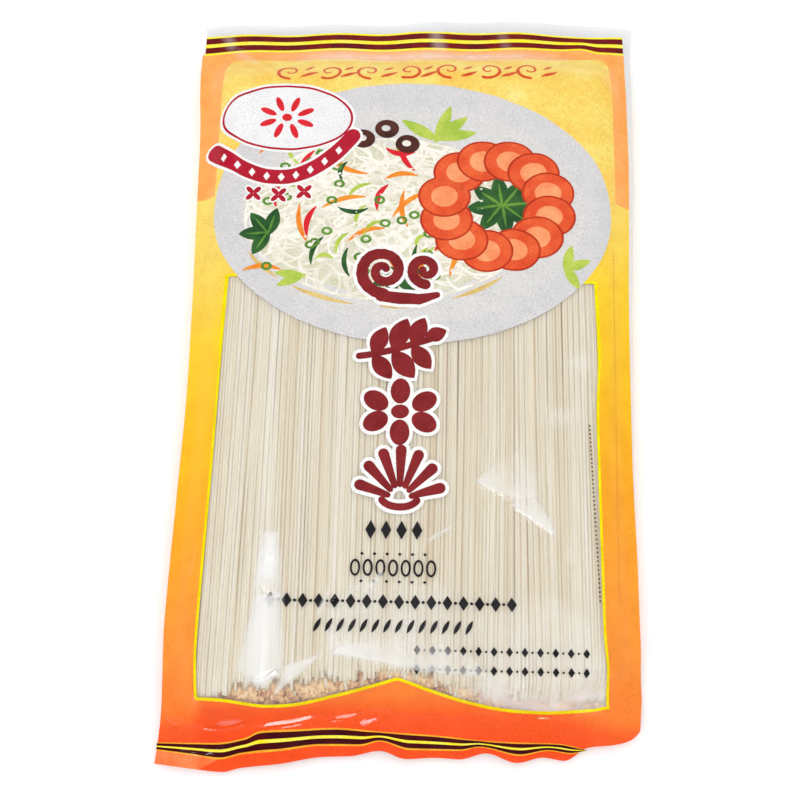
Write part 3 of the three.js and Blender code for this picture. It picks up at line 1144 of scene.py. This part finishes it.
def side_line(low, high, right, steps):
    """The print's edge along one side; on the right a strip of clear film is left, widest at the top"""
    y = np.linspace(low, high, steps)
    side = 1 if right else -1
    widening = np.clip((y - CLEAR_MARGIN_Y[0]) / (CLEAR_MARGIN_Y[1] - CLEAR_MARGIN_Y[0]), 0, 1) ** 0.9
    margin = PRINT_MARGIN + (CLEAR_MARGIN * widening if right else 0)
    return xy(side * (half_width(y, side) - margin), y)


def stripe_foot(x):
    return curve(STRIPES_HIGH_FOOT, x)


def print_foot(x):
    return bottom_edge(x) + PRINT_MARGIN


def field_loop():
    """The whole printed area, up to just below the foot of the upper stripes"""
    right = side_line(FIELD_LOW_RIGHT, stripe_foot(STRIPES_X[1]) + STRIPE_GAP, True, 60)
    left = side_line(print_foot(FIELD_LOW_X), stripe_foot(STRIPES_X[0]) + STRIPE_GAP, False, 70)[::-1]
    x_top = np.linspace(right[-1, 0], left[0, 0], 70)
    x_low = np.linspace(left[-1, 0], right[0, 0], 150)
    top = xy(x_top, stripe_foot(x_top) + STRIPE_GAP)
    return np.concatenate([right, top[1:], left[1:], xy(x_low, print_foot(x_low))[1:-1]])


def panel_loop():
    """The yellow panel above the plate, with rounded upper corners"""
    x = np.linspace(*PANEL_X, 90)
    past = np.maximum(0, PANEL_CORNER - np.minimum(x - PANEL_X[0], PANEL_X[1] - x))
    drop = PANEL_CORNER - np.sqrt(PANEL_CORNER ** 2 - past ** 2)
    foot = [(side, PANEL_LOW) for side in PANEL_X]
    return np.concatenate([foot, xy(x, curve(PANEL_TOP, x) - drop)[::-1]])


def corner_loop():
    """The peach band and corner blocks behind the panel"""
    right = side_line(PANEL_LOW, stripe_foot(STRIPES_X[1]), True, 40)
    left = side_line(PANEL_LOW, stripe_foot(STRIPES_X[0]), False, 40)[::-1]
    x = np.linspace(right[-1, 0], left[0, 0], 90)
    return np.concatenate([right, xy(x, stripe_foot(x))[1:], left[1:]])


def flap_loop():
    """The paler left end of the lower seal, below the stripes"""
    low, high = np.linspace(*FLAP_LOW_X, 20), np.linspace(*FLAP_HIGH_X, 20)
    x, y = np.concatenate([xy(low, print_foot(low)), xy(high, curve(STRIPES_LOW_FOOT, high))[::-1]]).T
    return xy(np.maximum(x, PRINT_MARGIN - half_width(y, -1)), y)


def clear_strip():
    """The unprinted film above the stripes and along the right side"""
    x = np.linspace(*CLEAR_X, 100)
    y = np.linspace(CLEAR_LOW, CLEAR_HIGH, 60)
    x_in = np.linspace(*STRIPES_X, 90)
    inner_right = side_line(CLEAR_LOW, curve(STRIPES_HIGH, STRIPES_X[1]), True, 60)[::-1]
    return np.concatenate([xy(half_width(y, 1) - 0.25, y), xy(x, top_edge(x) - PRINT_MARGIN)[::-1],
                           xy(x_in, curve(STRIPES_HIGH, x_in)), inner_right])


def add_stripes(name, span, high, foot, shares, back):
    """Parallel stripes that share the strip between two lines"""
    x = np.linspace(*span, 130)
    ends = np.cumsum([0, *(share for _, share in shares)])
    edges = [xy(x, mix(curve(high, x), curve(foot, x), end)) for end in ends]
    for n, (colour, _) in enumerate(shares):
        printed(f"{name}_{n}", [np.concatenate([edges[n + 1], edges[n][::-1]])], 1, colour, back=back)


def all_stripes(prefix, back=False):
    add_stripes(prefix + "_stripe_high", STRIPES_X, STRIPES_HIGH, STRIPES_HIGH_FOOT, HIGH_SHARES, back)
    add_stripes(prefix + "_stripe_low", LOW_STRIPES_X, STRIPES_LOW, STRIPES_LOW_FOOT, LOW_SHARES, back)


def front_fields():
    window, plate = window_loop(), plate_loop()
    printed("print_field", [field_loop()], 0, "field", [window])
    printed("print_corners", [corner_loop()], 1, "peach", [panel_loop()])
    printed("print_panel", [panel_loop()], 1, "wash", [plate])
    printed("print_plate", [plate], 1, "plate")
    printed("print_window_line", [window_loop(1.0)], 1, "line", [window, plate])
    all_stripes("print")
    printed("print_flap", [flap_loop()], 1, "flap")


def back_fields():
    printed("back_field", [field_loop()], 0, "field", spacing=BACK_SPACING, back=True)
    all_stripes("back", back=True)


def add_fin():
    """The fin seal, between the stripes of both end seals"""
    x, share = np.meshgrid(np.linspace(*FIN_X, 9), np.linspace(0, 1, 180))
    y = mix(curve(STRIPES_LOW, x) + STRIPE_GAP, stripe_foot(x) - STRIPE_GAP, share)
    bottom = plain_back_z(x, y) - (1 - back_rise(x, y)) * (FIN_THICKNESS + FIN_GAP)
    closed_block("print_fin", x, y, bottom + FIN_THICKNESS, bottom, INKS["field"], "print")


# The picture on the plate: strands of noodle with vegetables

def around(cx, cy, out, bearing, flatness=1.0):
    """The place at a distance and a bearing in degrees from a middle"""
    a = math.radians(bearing)
    return cx + out * math.cos(a), cy + flatness * out * math.sin(a)


def nest_paths():
    """Curling strands that fill the nest, with the outer ones pulled in to its edge"""
    paths = []
    for _ in range(NEST_STRANDS):
        bearing = rng.uniform(0, 2 * math.pi)
        out = rng.uniform(0, 1) ** NEST_SPREAD
        centre = out * NEST_RADII * (math.cos(bearing), math.sin(bearing))
        radius = rng.uniform(*CURL_RADII)
        first = rng.uniform(0, 360)
        path = arch(*centre, radius, CURL_FLATNESS * radius, first, first + rng.uniform(*CURL_RUNS), 20)
        reach = np.hypot(*(path / NEST_RADII).T)[:, None]
        paths.append(path / np.maximum(1, reach) + NEST_CENTRE)
    return paths


def add_nest():
    bearing = np.arange(90) / 90 * 2 * math.pi
    wave = 1 + 0.035 * np.sin(7 * bearing) + 0.03 * np.sin(11 * bearing + 1)
    edge = arch(0, 0, 1, 1, steps=90) * wave[:, None] * NEST_RADII * 0.97 + NEST_CENTRE
    printed("plate_nest_shade", [edge], 1.3, "nest")
    paths = nest_paths()
    tones = rng.uniform(0, 1, len(paths))
    halves = rng.uniform(*STRAND_HALVES, len(paths))
    strands = toned_look("nest_strands", NEST_TONES, 0.5, 0.3, (500, 500, 1)).material
    ribbons("plate_nest", paths, halves, 1.5, 0.4, strands, tones)


def round_slices(radius):
    """Discs in a curved row round the right of the plate"""
    bearings = np.radians(np.linspace(*SLICE_ROW_BEARINGS, SLICE_COUNT))
    cx, cy = SLICE_ROW_CENTRE
    rx, ry = SLICE_ROW_RADII
    return [ellipse(cx + rx * math.cos(a), cy + ry * math.sin(a), radius, 0.86 * radius, steps=36)
            for a in bearings]


def add_slices():
    covers = round_slices(SLICE_RADIUS + 0.35)
    printed_pile("plate_slices_rim", covers, covers, 2.3, "rust")
    printed_pile("plate_slices", round_slices(SLICE_RADIUS - 0.45), covers, 2.45, "coral")
    printed_pile("plate_slices_core", round_slices(0.52 * SLICE_RADIUS), covers, 2.6, "coral_light")


def add_leaves():
    """Sprays of leaves that point away from their middle"""
    for name, colour, level, sprays in LEAF_SPRAYS:
        fine(name, [leaf(*around(cx, cy, 0.42 * length, bearing, 0.86), length, width, bearing)
                    for cx, cy, length, width, bearings in sprays for bearing in bearings], level, colour)


def add_rings():
    """Dark rings with a pale middle, and small green rings"""
    middles = [ellipse(x - 0.4, y + 0.3, 1.7, 1.3) for x, y in DARK_RINGS]
    fine("plate_dark_rings", [ellipse(x, y, 4.6, 3.9) for x, y in DARK_RINGS], 2.5, "dark", middles)
    spots = [(x, y) for x, y in rng.uniform(*RING_AREA, (RING_COUNT, 2)) if abs(x + 20) > 6 or y < 60]
    inner = [ellipse(x, y, 1.0, 0.8, steps=14) for x, y in spots]
    fine("plate_green_rings", [ellipse(x, y, 2.1, 1.7, steps=20) for x, y in spots], 2.1, "leaf", inner)


def add_sticks():
    """Short curved sticks with pointed ends at random places"""
    t = np.linspace(-1, 1, 12)
    for name, colour, count, length, half, level in STICKS:
        loops = []
        for x, y in rng.uniform(*STICK_AREA, (count, 2)):
            turn = rng.uniform(0, 180)
            reach = length * rng.uniform(*STICK_LENGTHS) / 2
            path = turned(xy(reach * t, STICK_BEND * (1 - t ** 2)), turn, x, y)
            loops.append(stroke(path, half * (1 - 0.75 * t ** 2)))
        fine("plate_sticks_" + name, loops, level, colour)


def add_sauce():
    """Thin traces of sauce round the foot of the noodles"""
    half = 0.9 * np.sin(np.linspace(0.15, math.pi - 0.15, 14))
    radii = NEST_RADII + (3, 2.5)
    fine("plate_sauce", [stroke(arch(*NEST_CENTRE, *radii, a, a + run, 14), half) for a, run in SAUCE_ARCS],
         1.25, "sauce")


def add_plate_picture():
    cx, cy = PLATE_CENTRE
    well = ellipse(cx, cy - 1, 0.86 * PLATE_RADII[0], 0.84 * PLATE_RADII[1], steps=100)
    printed("print_plate_well", [well], 1.15, "plate_well")
    add_nest()
    add_sauce()
    add_sticks()
    add_rings()
    add_leaves()
    add_slices()


# Ornaments, each about 31 mm wide and 24 mm high round its own middle. They grow all round for a white edge.

def spiral(cx, cy, inner, outer, turns, start, side=1):
    t = np.linspace(0, 1, 30)
    a = math.radians(start) + 2 * math.pi * turns * t
    r = mix(inner, outer, t)
    return xy(cx + side * r * np.cos(a), cy + r * np.sin(a))


def petals(cx, cy, count, out, long, wide, grow, first=0.0, stretch=1.0):
    """Ovals round a middle, which point away from it"""
    loops = []
    for n in range(count):
        bearing = first + 360 * n / count
        x, y = around(0, 0, out, bearing)
        loops.append(ellipse(cx + stretch * x, cy + y, long + grow, wide + grow, bearing, 30))
    return loops


def cloud(grow):
    """A scrolled cloud: two spirals of different size over a long tail"""
    t = np.linspace(0, 1, 30)
    tail = [(-7, -8.4), (0, -9.2), (7, -9.6), (13.5, -7.6)]
    return [stroke(spiral(-6.2, 1.6, 1.2, 9.2, 1.62, 47), mix(1.5, 2.3, t) + grow),
            stroke(spiral(9.2, 2.2, 1.0, 5.8, 1.25, 180), mix(1.4, 2.0, t) + grow),
            stroke(tail, np.array([2.2, 2.3, 2.1, 1.2]) + grow)]


def sprig(grow):
    """A stem with pairs of leaves"""
    def stem_y(t):
        return -5 + 7 * t ** 1.3

    t = np.linspace(0, 1, 16)
    loops = [stroke(xy(mix(-14.5, 11, t), stem_y(t)), 1.25 + grow)]
    for share, size in ((0.16, 0.9), (0.44, 1.04), (0.72, 0.9)):
        x, y = mix(-14, 11, share), stem_y(share)
        for bearing, dx, dy in ((66, 2.8, 6.0), (-52, 4.2, -5.0)):
            loops.append(leaf(x + size * dx, y + size * dy, size * 12.6 + 2 * grow, size * 7.2 + 2 * grow,
                              bearing))
    return loops + [leaf(12.8, 3.8, 8.6 + 2 * grow, 5.6 + 2 * grow, 24)]


def blossom(grow):
    """A six-petalled flower"""
    return petals(0, 0, 6, 7.6, 4.7, 3.5, grow, 30, 1.3) + [ellipse(0, 0, 3.2 + grow, 2.6 + grow)]


def shell(grow):
    """A fan of widening ribs over a small foot"""
    t = np.linspace(0.3, 1, 8)
    loops = [stroke(arch(0, -6.5, 6.4, 3.6, 200, 340, 24), 1.3 + grow)]
    for bearing in range(14, 180, 25):
        a = math.radians(bearing)
        rib = xy(14.4 * math.cos(a) * t, -7.4 + 17.6 * math.sin(a) * t)
        loops.append(stroke(rib, mix(0.7, 1.95, t) + grow))
    return loops


def add_ornaments():
    for n, (shape, place) in enumerate(zip((cloud, sprig, blossom, shell), ORNAMENT_PLACES)):
        fine(f"ornament_{n}_edge", [loop + place for loop in shape(ORNAMENT_EDGE)], 3.0, "white")
        fine(f"ornament_{n}", [loop + place for loop in shape(0)], 3.25, "brick")


def badge_band():
    """The middle line of the arched band below the badge"""
    a, b, c = np.array(BAND_POINTS, float)
    t = np.linspace(0, 1, 40)[:, None]
    bend = 2 * b - (a + c) / 2
    return mix(mix(a, bend, t), mix(bend, c, t), t)


def badge_oval(grow):
    return ellipse(*BADGE_CENTRE, BADGE_RADII[0] + grow, BADGE_RADII[1] + grow, steps=80)


def add_badge():
    """A white oval with a rosette, an arched band of lozenges and three small rosettes"""
    band = badge_band()
    fine("badge_edge", [badge_oval(1.9), stroke(band, BAND_HALF + 1.0)], 2.75, "white")
    fine("badge_inside", [badge_oval(0)], 2.85, "pearl")
    fine("badge_line", [badge_oval(0.9)], 3.0, "crimson", [badge_oval(0)])
    rosette = petals(*BADGE_CENTRE, 8, 6.2, 3.3, 1.25, 0, 22.5, 1.25) + [ellipse(*BADGE_CENTRE, 1.9, 1.6)]
    fine("badge_rosette", rosette, 3.0, "red")
    diamonds = [lozenge(x, y, 2.6, 3.6) for x, y in band[3:-2:4]]
    fine("badge_band", [stroke(band, BAND_HALF)], 3.0, "crimson", diamonds)
    for name, grow, level, colour in (("_edge", 0.6, 2.75, "white"), ("", 0, 3.0, "crimson")):
        marks = [loop for place in MARK_PLACES for loop in petals(*place, 4, 1.9, 1.8, 0.95, grow, 45)]
        fine("badge_marks" + name, marks, level, colour)


def add_scrollwork():
    """A line of curls across the yellow panel"""
    loops = []
    for n, x in enumerate(np.linspace(*SCROLL_X, SCROLL_CURLS)):
        y = SCROLL_Y + SCROLL_RISE * n / SCROLL_CURLS
        curl = spiral(x, y, 0.7, 5.4, 1.2, 200 + 25 * (n % 2), 1 - 2 * (n % 2))
        loops += [stroke(curl, np.linspace(0.32, 0.75, len(curl))), leaf(x + 7.8, y - 2.6, 8, 1.9, 28),
                  leaf(x + 7.6, y + 2.2, 5, 1.5, 40)]
    fine("print_scrollwork", loops, 1.3, "scroll")


# Rows of small black shapes: the shape, its span in X, its Y, the pitch, and each one's size
RING_ROW = (ellipse, (-17.5, 12), -79.5, 4.3)
BLACK_ROWS = (
    (lozenge, (-12.6, 8), -66.5, 5.3, 3.6, 6.6),
    (*RING_ROW, 1.75, 2.9),
    (ellipse, (-15.3, 10), -74.8, 4.3, 0.55, 0.5, 0, 10),
    (ellipse, (-15.3, 10), -84.2, 4.3, 0.55, 0.5, 0, 10),
    (lozenge, (-45.5, 37), -91, 5.4, 3.4, 5.0),
    (ellipse, (-42.8, 36), -91, 5.4, 0.55, 0.5),
    (leaf, (-29.5, 24), -99, 3.9, 5.2, 1.5, 62),
    (lozenge, (4, 61), -106.6, 5.1, 2.3, 3.2),
    (ellipse, (6.5, 60), -106.6, 5.1, 0.4, 0.38),
    (lozenge, (4, 61), -112.8, 5.1, 2.3, 3.2),
    (ellipse, (6.5, 60), -112.8, 5.1, 0.4, 0.38),
)


def row_of(shape, span, y, pitch, *size):
    return [shape(x, y, *size) for x in np.arange(*span, pitch)]


def add_rows():
    loops = [loop for row in BLACK_ROWS for loop in row_of(*row)]
    fine("print_rows", loops, 1.3, "black", row_of(*RING_ROW, 1.05, 2.1))


def add_dots():
    """Two rows of fine dots down the right side"""
    for name, colour, count, half, (x0, x1), (y0, y1) in DOT_ROWS:
        dots = [ellipse(mix(x0, x1, t), mix(y0, y1, t), half, 1.2 * half, steps=8)
                for t in np.linspace(0, 1, count)]
        fine("print_dots_" + name, dots, 1.3, colour)


def front_picture():
    add_plate_picture()
    add_badge()
    add_scrollwork()
    add_ornaments()
    add_rows()
    add_dots()


# The film

def cloudy(x, y):
    return CLOUD_SHARE + bumps(CLOUDS, x, y)


def film_gloss(x, y):
    """Gloss of the front film: highest where it lies smooth and free, in soft cloudy patches"""
    return np.clip(SLACK_SHINE * slack_share(x, y) * cloudy(x, y) + glint_gloss(x, y), 0, 1)


def add_film(material):
    x, y = outline_grid(FILM_COLUMNS, FILM_ROWS)
    front = add_mesh("film_front", grid_points(x, y, front_z(x, y)), grid_faces(x), material, "film",
                     gloss=film_gloss(x, y))
    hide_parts("noodle_pack")
    x, y = outline_grid(BACK_COLUMNS, BACK_ROWS)
    back = add_mesh("film_back", grid_points(x, y, back_z(x, y)), grid_faces(x)[:, ::-1], material, "film",
                    gloss=np.full(x.shape, BACK_GLOSS))
    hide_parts("noodle_pack")


def lets_light_by(piece):
    """Painted reflection whitens what is seen through it, but doesn't darken it"""
    piece.visible_shadow = False
    piece.visible_diffuse = False


def add_painted_reflection(name, x, low, high, material):
    """Painted reflection of slack film: a white sheet above the print, between two lines"""
    share = np.linspace(0, 1, int((high - low).max() / PAINTED_REFLECTION_SPACING) + 1)[:, None]
    x, y = x * np.ones_like(share), mix(low, high, share)
    haze = np.maximum(PAINTED_REFLECTION * slack_share(x, y, OVER_PRINT), streak_share(x, y)) * cloudy(x, y)
    faces = grid_faces(x)
    used, faces = np.unique(faces[haze.ravel()[faces].max(1) > LEAST_PAINTED_REFLECTION], return_inverse=True)
    points = under_film(xy(x.ravel(), y.ravel())[used], PAINTED_REFLECTION_LEVEL)
    lets_light_by(add_mesh(name, points, faces.reshape(-1, 4), material, "film", haze=haze.ravel()[used]))


def add_haze():
    """How the film looks: a faint haze over all the noodles, partly painted sheen, and a white painted
    reflection where it is slack, strong above the print
    """
    verts, faces = triangulated([window_loop()], [plate_loop()], HAZE_SPACING)
    # Faint haze over the window: partly the film's own haze, partly painted sheen of the light it reflects
    faint = haze_material("film_haze", HAZE_AND_SHEEN_COLOUR, HAZE_AND_SHEEN_AT_REST, (120, 18, 1))
    sheet("film_haze", verts, faces, -1, faint, slot="film").visible_shadow = False
    reflection_look = painted_reflection_material()
    x, y = verts.T
    # Painted reflection over the window, where slack film stands off the noodles and in its lower right
    # corner
    patchy = 1 + sum(bumps(kind, x, y) for kind in SLACK_PATCHES)
    haze = PAINTED_REFLECTION * slack_share(x, y, 0, OVER_PRINT) * np.clip(patchy, 0, 1.5)
    haze = haze + CORNER_REFLECTION * step(x, *CORNER_REFLECTION_X) * step(y, *CORNER_REFLECTION_Y)
    lets_light_by(sheet("film_painted_reflection_under", verts, faces, 0, reflection_look, slot="film", haze=haze))
    strip = haze_material("film_clear_strip", STRIP_COLOUR, STRIP_HAZE, (40, 40, 1))
    sheet("film_clear_strip", *triangulated([clear_strip()], [], PRINT_SPACING), 1, strip, slot="film")
    # Strong painted reflection above the print: over the lower window and over the upper seal
    x = np.arange(*LOW_PAINTED_REFLECTION_X, PAINTED_REFLECTION_SPACING)
    add_painted_reflection("film_painted_reflection_low", x, window_low(x), 0 * x, reflection_look)
    x = np.arange(*HIGH_PAINTED_REFLECTION_X, PAINTED_REFLECTION_SPACING)
    add_painted_reflection("film_painted_reflection_high", x, 0 * x + HIGH_PAINTED_REFLECTION_Y, top_edge(x) - 0.5, reflection_look)


# The noodles

def rods(name, paths, radii, sides, tones, material):
    """Many round rods along level paths, as one piece with closed ends"""
    count, steps, _ = paths.shape
    along = np.gradient(paths, axis=1) * (1, 1, 0)
    along /= np.linalg.norm(along, axis=2)[:, :, None]
    across = np.stack([along[..., 1], -along[..., 0], 0 * along[..., 0]], -1)[:, :, None, :]
    turn = np.linspace(0, 2 * math.pi, sides, endpoint=False)[None, None, :, None]
    ring = np.cos(turn) * across + np.sin(turn) * np.array([0, 0, 1.0])
    points = paths[:, :, None, :] + radii[:, None, None, None] * ring
    index = np.arange(count * steps * sides).reshape(count, steps, sides)
    ahead = np.roll(index, -1, axis=2)
    quads = np.stack([index[:, :-1], index[:, 1:], ahead[:, 1:], ahead[:, :-1]], -1).reshape(-1, 4)
    faces = quads.tolist() + index[:, 0].tolist() + index[:, -1, ::-1].tolist()
    add_mesh(name, points.reshape(-1, 3), faces, material, "noodles", tone=np.repeat(tones, steps * sides))


def noodle_ceiling(x, y):
    """The noodles stay below this height"""
    return np.minimum(bundle_z(x, y) + edge_half_thickness(x, y), ink_z(x, y)) - NOODLE_CLEARANCE


def along_noodle(end_steps, middle_steps):
    """Places along a noodle from 0 to 1, closer together where the pack slopes down to its ends"""
    end = NOODLE_END_RUN / (BLOCK_HIGH - min(y for _, y in BLOCK_LOW))
    low = np.linspace(0, end, end_steps)
    return np.concatenate([low, np.linspace(end, 1 - end, middle_steps)[1:-1], 1 - low[::-1]])


def bundle_layer(layer, steps):
    """One layer of the bundle: its paths, radii and tones"""
    x0 = np.arange(-BLOCK_HALF_WIDTH + (layer % 2) * NOODLE_PITCH / 2, BLOCK_HALF_WIDTH, NOODLE_PITCH)
    count = len(x0)
    x0 = x0 + rng.normal(0, NOODLE_STRAY, count)
    low = curve(BLOCK_LOW, x0) + END_INSET - END_STEP * layer + bumps(END_BUNCHES, x0, 0 * x0 + layer)
    low = low + rng.normal(0, LOW_END_STRAY, count)
    high = BLOCK_HIGH + rng.normal(0, HIGH_END_STRAY, count)
    y = mix(low[:, None], high[:, None], along_noodle(*steps))
    own = x0[:, None] + 0 * y
    x = own + bumps(SWAY, own, y)
    x = x + bumps(OWN_SWAY, 3 * own, y, layer)
    radius = NOODLE_RADIUS * rng.normal(1, RADIUS_SPREAD, count)
    rise = bumps(LUMPS, x, y) - LUMPS[0] + bumps(OWN_LUMPS, 5 * own, y, layer) - OWN_LUMPS[0]
    ceiling = noodle_ceiling(x, y) - radius[:, None]
    z = np.maximum(ceiling - NOODLE_LAYER_DROP * layer + rise, back_z(x, y) + NOODLE_ABOVE_BACK)
    tones = MEAN_TONE + bumps(TONE_BUNCHES, x0, 0 * x0, layer) + bumps(TONE_FIELDS, x0, 0 * x0)
    shade = DARK_SIDE * step(x0, *DARK_SIDE_X) + LAYER_SHADE * layer
    tones = tones - shade + rng.normal(0, TONE_SPREAD, count)
    return np.stack([x, y, np.minimum(z, ceiling)], -1), radius, np.clip(tones, 0, 1)


def add_bundle(material):
    for layer, (steps, sides) in enumerate(NOODLE_LAYERS):
        paths, radii, tones = bundle_layer(layer, steps)
        rods(f"noodles_{layer}", paths, radii, sides, tones, material)


def ply_z(x, y):
    """The back film, drawn up behind the ends of the noodles towards the lower seal"""
    z = ink_z(x, y) - mix(*PLY_DEPTHS, smooth((y - window_low(x)) / PLY_RUN))
    return np.maximum(z, back_z(x, y) + PLY_ABOVE_BACK)


def add_crumbs(material):
    """Broken bits of noodle that lie loose beyond the ends of the bundle"""
    x = rng.uniform(*CRUMB_X, CRUMB_COUNT)
    y = curve(BLOCK_LOW, x) - rng.uniform(*CRUMB_DROP, CRUMB_COUNT)
    turn = rng.uniform(-CRUMB_TURN, CRUMB_TURN, CRUMB_COUNT) + math.pi / 2
    half = rng.uniform(*CRUMB_HALVES, CRUMB_COUNT)
    radius = NOODLE_RADIUS * rng.normal(*CRUMB_RADIUS, CRUMB_COUNT)
    t = np.array([-1, 0, 1.0]) * half[:, None]
    px, py = x[:, None] + t * np.cos(turn)[:, None], y[:, None] + t * np.sin(turn)[:, None]
    z = np.minimum(ply_z(px, py) + CRUMB_ABOVE_PLY, noodle_ceiling(px, py) - radius[:, None])
    tones = rng.uniform(*CRUMB_TONES, CRUMB_COUNT)
    rods("noodle_crumbs", np.stack([px, py, z], -1), radius, 6, tones, material)


def add_inner_ply(material):
    x, share = np.meshgrid(np.linspace(*PLY_X, 151), np.linspace(0, 1, 17))
    y = mix(window_low(x) - PLY_BELOW_WINDOW, PLY_HIGH, share)
    add_mesh("film_inner_ply", grid_points(x, y, ply_z(x, y)), grid_faces(x), material, "print")


def add_core(material):
    """The rest of the bundle, below the noodles that show"""
    reach = BLOCK_HALF_WIDTH - CORE_INSET
    x, share = np.meshgrid(np.linspace(-reach, reach, 77), np.linspace(0, 1, 31))
    y = mix(curve(BLOCK_LOW, x) + CORE_INSET, BLOCK_HIGH, share)
    ribs = CORE_RIBS * np.abs(np.sin(math.pi * x / (2 * NOODLE_PITCH)))
    top = noodle_ceiling(x, y) - CORE_DEPTH + ribs
    bottom = np.minimum(np.maximum(back_z(x, y) + CORE_ABOVE_BACK, CORE_LEAST_Z), top - CORE_LEAST_HEIGHT)
    # Its dark tone is painted shade between and below the noodles
    tone = np.full(2 * x.size, CORE_SHADE_TONE)
    closed_block("noodle_core", x, y, top, bottom, material, "noodles", tone=tone)


# Floor, light and camera

def add_floor():
    mesh = bpy.data.meshes.new("floor")
    corners = [(FLOOR_REACH * x, FLOOR_REACH * y, 0) for x, y in ((-1, -1), (1, -1), (1, 1), (-1, 1))]
    mesh.from_pydata(corners, [], [(0, 1, 2, 3)])
    look = Look("floor", 0.9)
    look.give("Base Color", look.ramp(look.noise(9), (0.3, (252, 252, 252)), (0.7, WHITE)))
    mesh.materials.append(look.material)
    floor = add_object("floor", mesh)


def add_softbox(name, place_m, size, radiance, lights):
    """An area light that either lights the pack or is mirrored by its film"""
    light = bpy.data.lights.new(name, "AREA")
    light.shape = "RECTANGLE"
    light.size, light.size_y = size
    light.energy = radiance * math.pi * size[0] * size[1]
    lamp = add_object(name, light)
    lamp.location = place_m
    lamp.rotation_euler = (Vector(LIGHT_AIM) - Vector(place_m)).to_track_quat("-Z", "Y").to_euler()
    lamp.visible_diffuse = lights
    lamp.visible_glossy = not lights


def add_world():
    world = bpy.data.worlds.new("studio")
    bpy.context.scene.world = world
    world.use_nodes = True
    background = world.node_tree.nodes["Background"]
    background.inputs["Color"].default_value = (1, 1, 1, 1)
    background.inputs["Strength"].default_value = WORLD_STRENGTH
    world.cycles_visibility.glossy = False


def add_camera():
    data = bpy.data.cameras.new("camera")
    data.lens = LENS
    data.dof.use_dof = False
    camera = add_object("camera", data)
    a, e = math.radians(CAMERA_AZIMUTH), math.radians(CAMERA_ELEVATION)
    back = Vector((math.sin(a) * math.cos(e), -math.cos(a) * math.cos(e), math.sin(e)))
    camera.location = (Vector(CAMERA_AIM) + back * CAMERA_DISTANCE) * MM
    camera.rotation_euler = (-back).to_track_quat("-Z", "Y").to_euler()
    bpy.context.scene.camera = camera


add_camera()
add_floor()
add_world()
for name, softbox in SOFTBOXES.items():
    add_softbox(name, *softbox)
bpy.context.scene.view_settings.view_transform = "Standard"

INKS = {name: ink("ink_" + name, *colours) for name, colours in INK_COLOURS.items()}
INKS["field"] = field_ink()
INKS["wash"] = wash_ink()
add_film(film_material())
add_haze()
front_fields()
front_picture()
back_fields()
add_fin()
noodle = noodle_material()
add_bundle(noodle)
add_crumbs(noodle)
add_inner_ply(painted_shade_ply_material())
add_core(noodle)
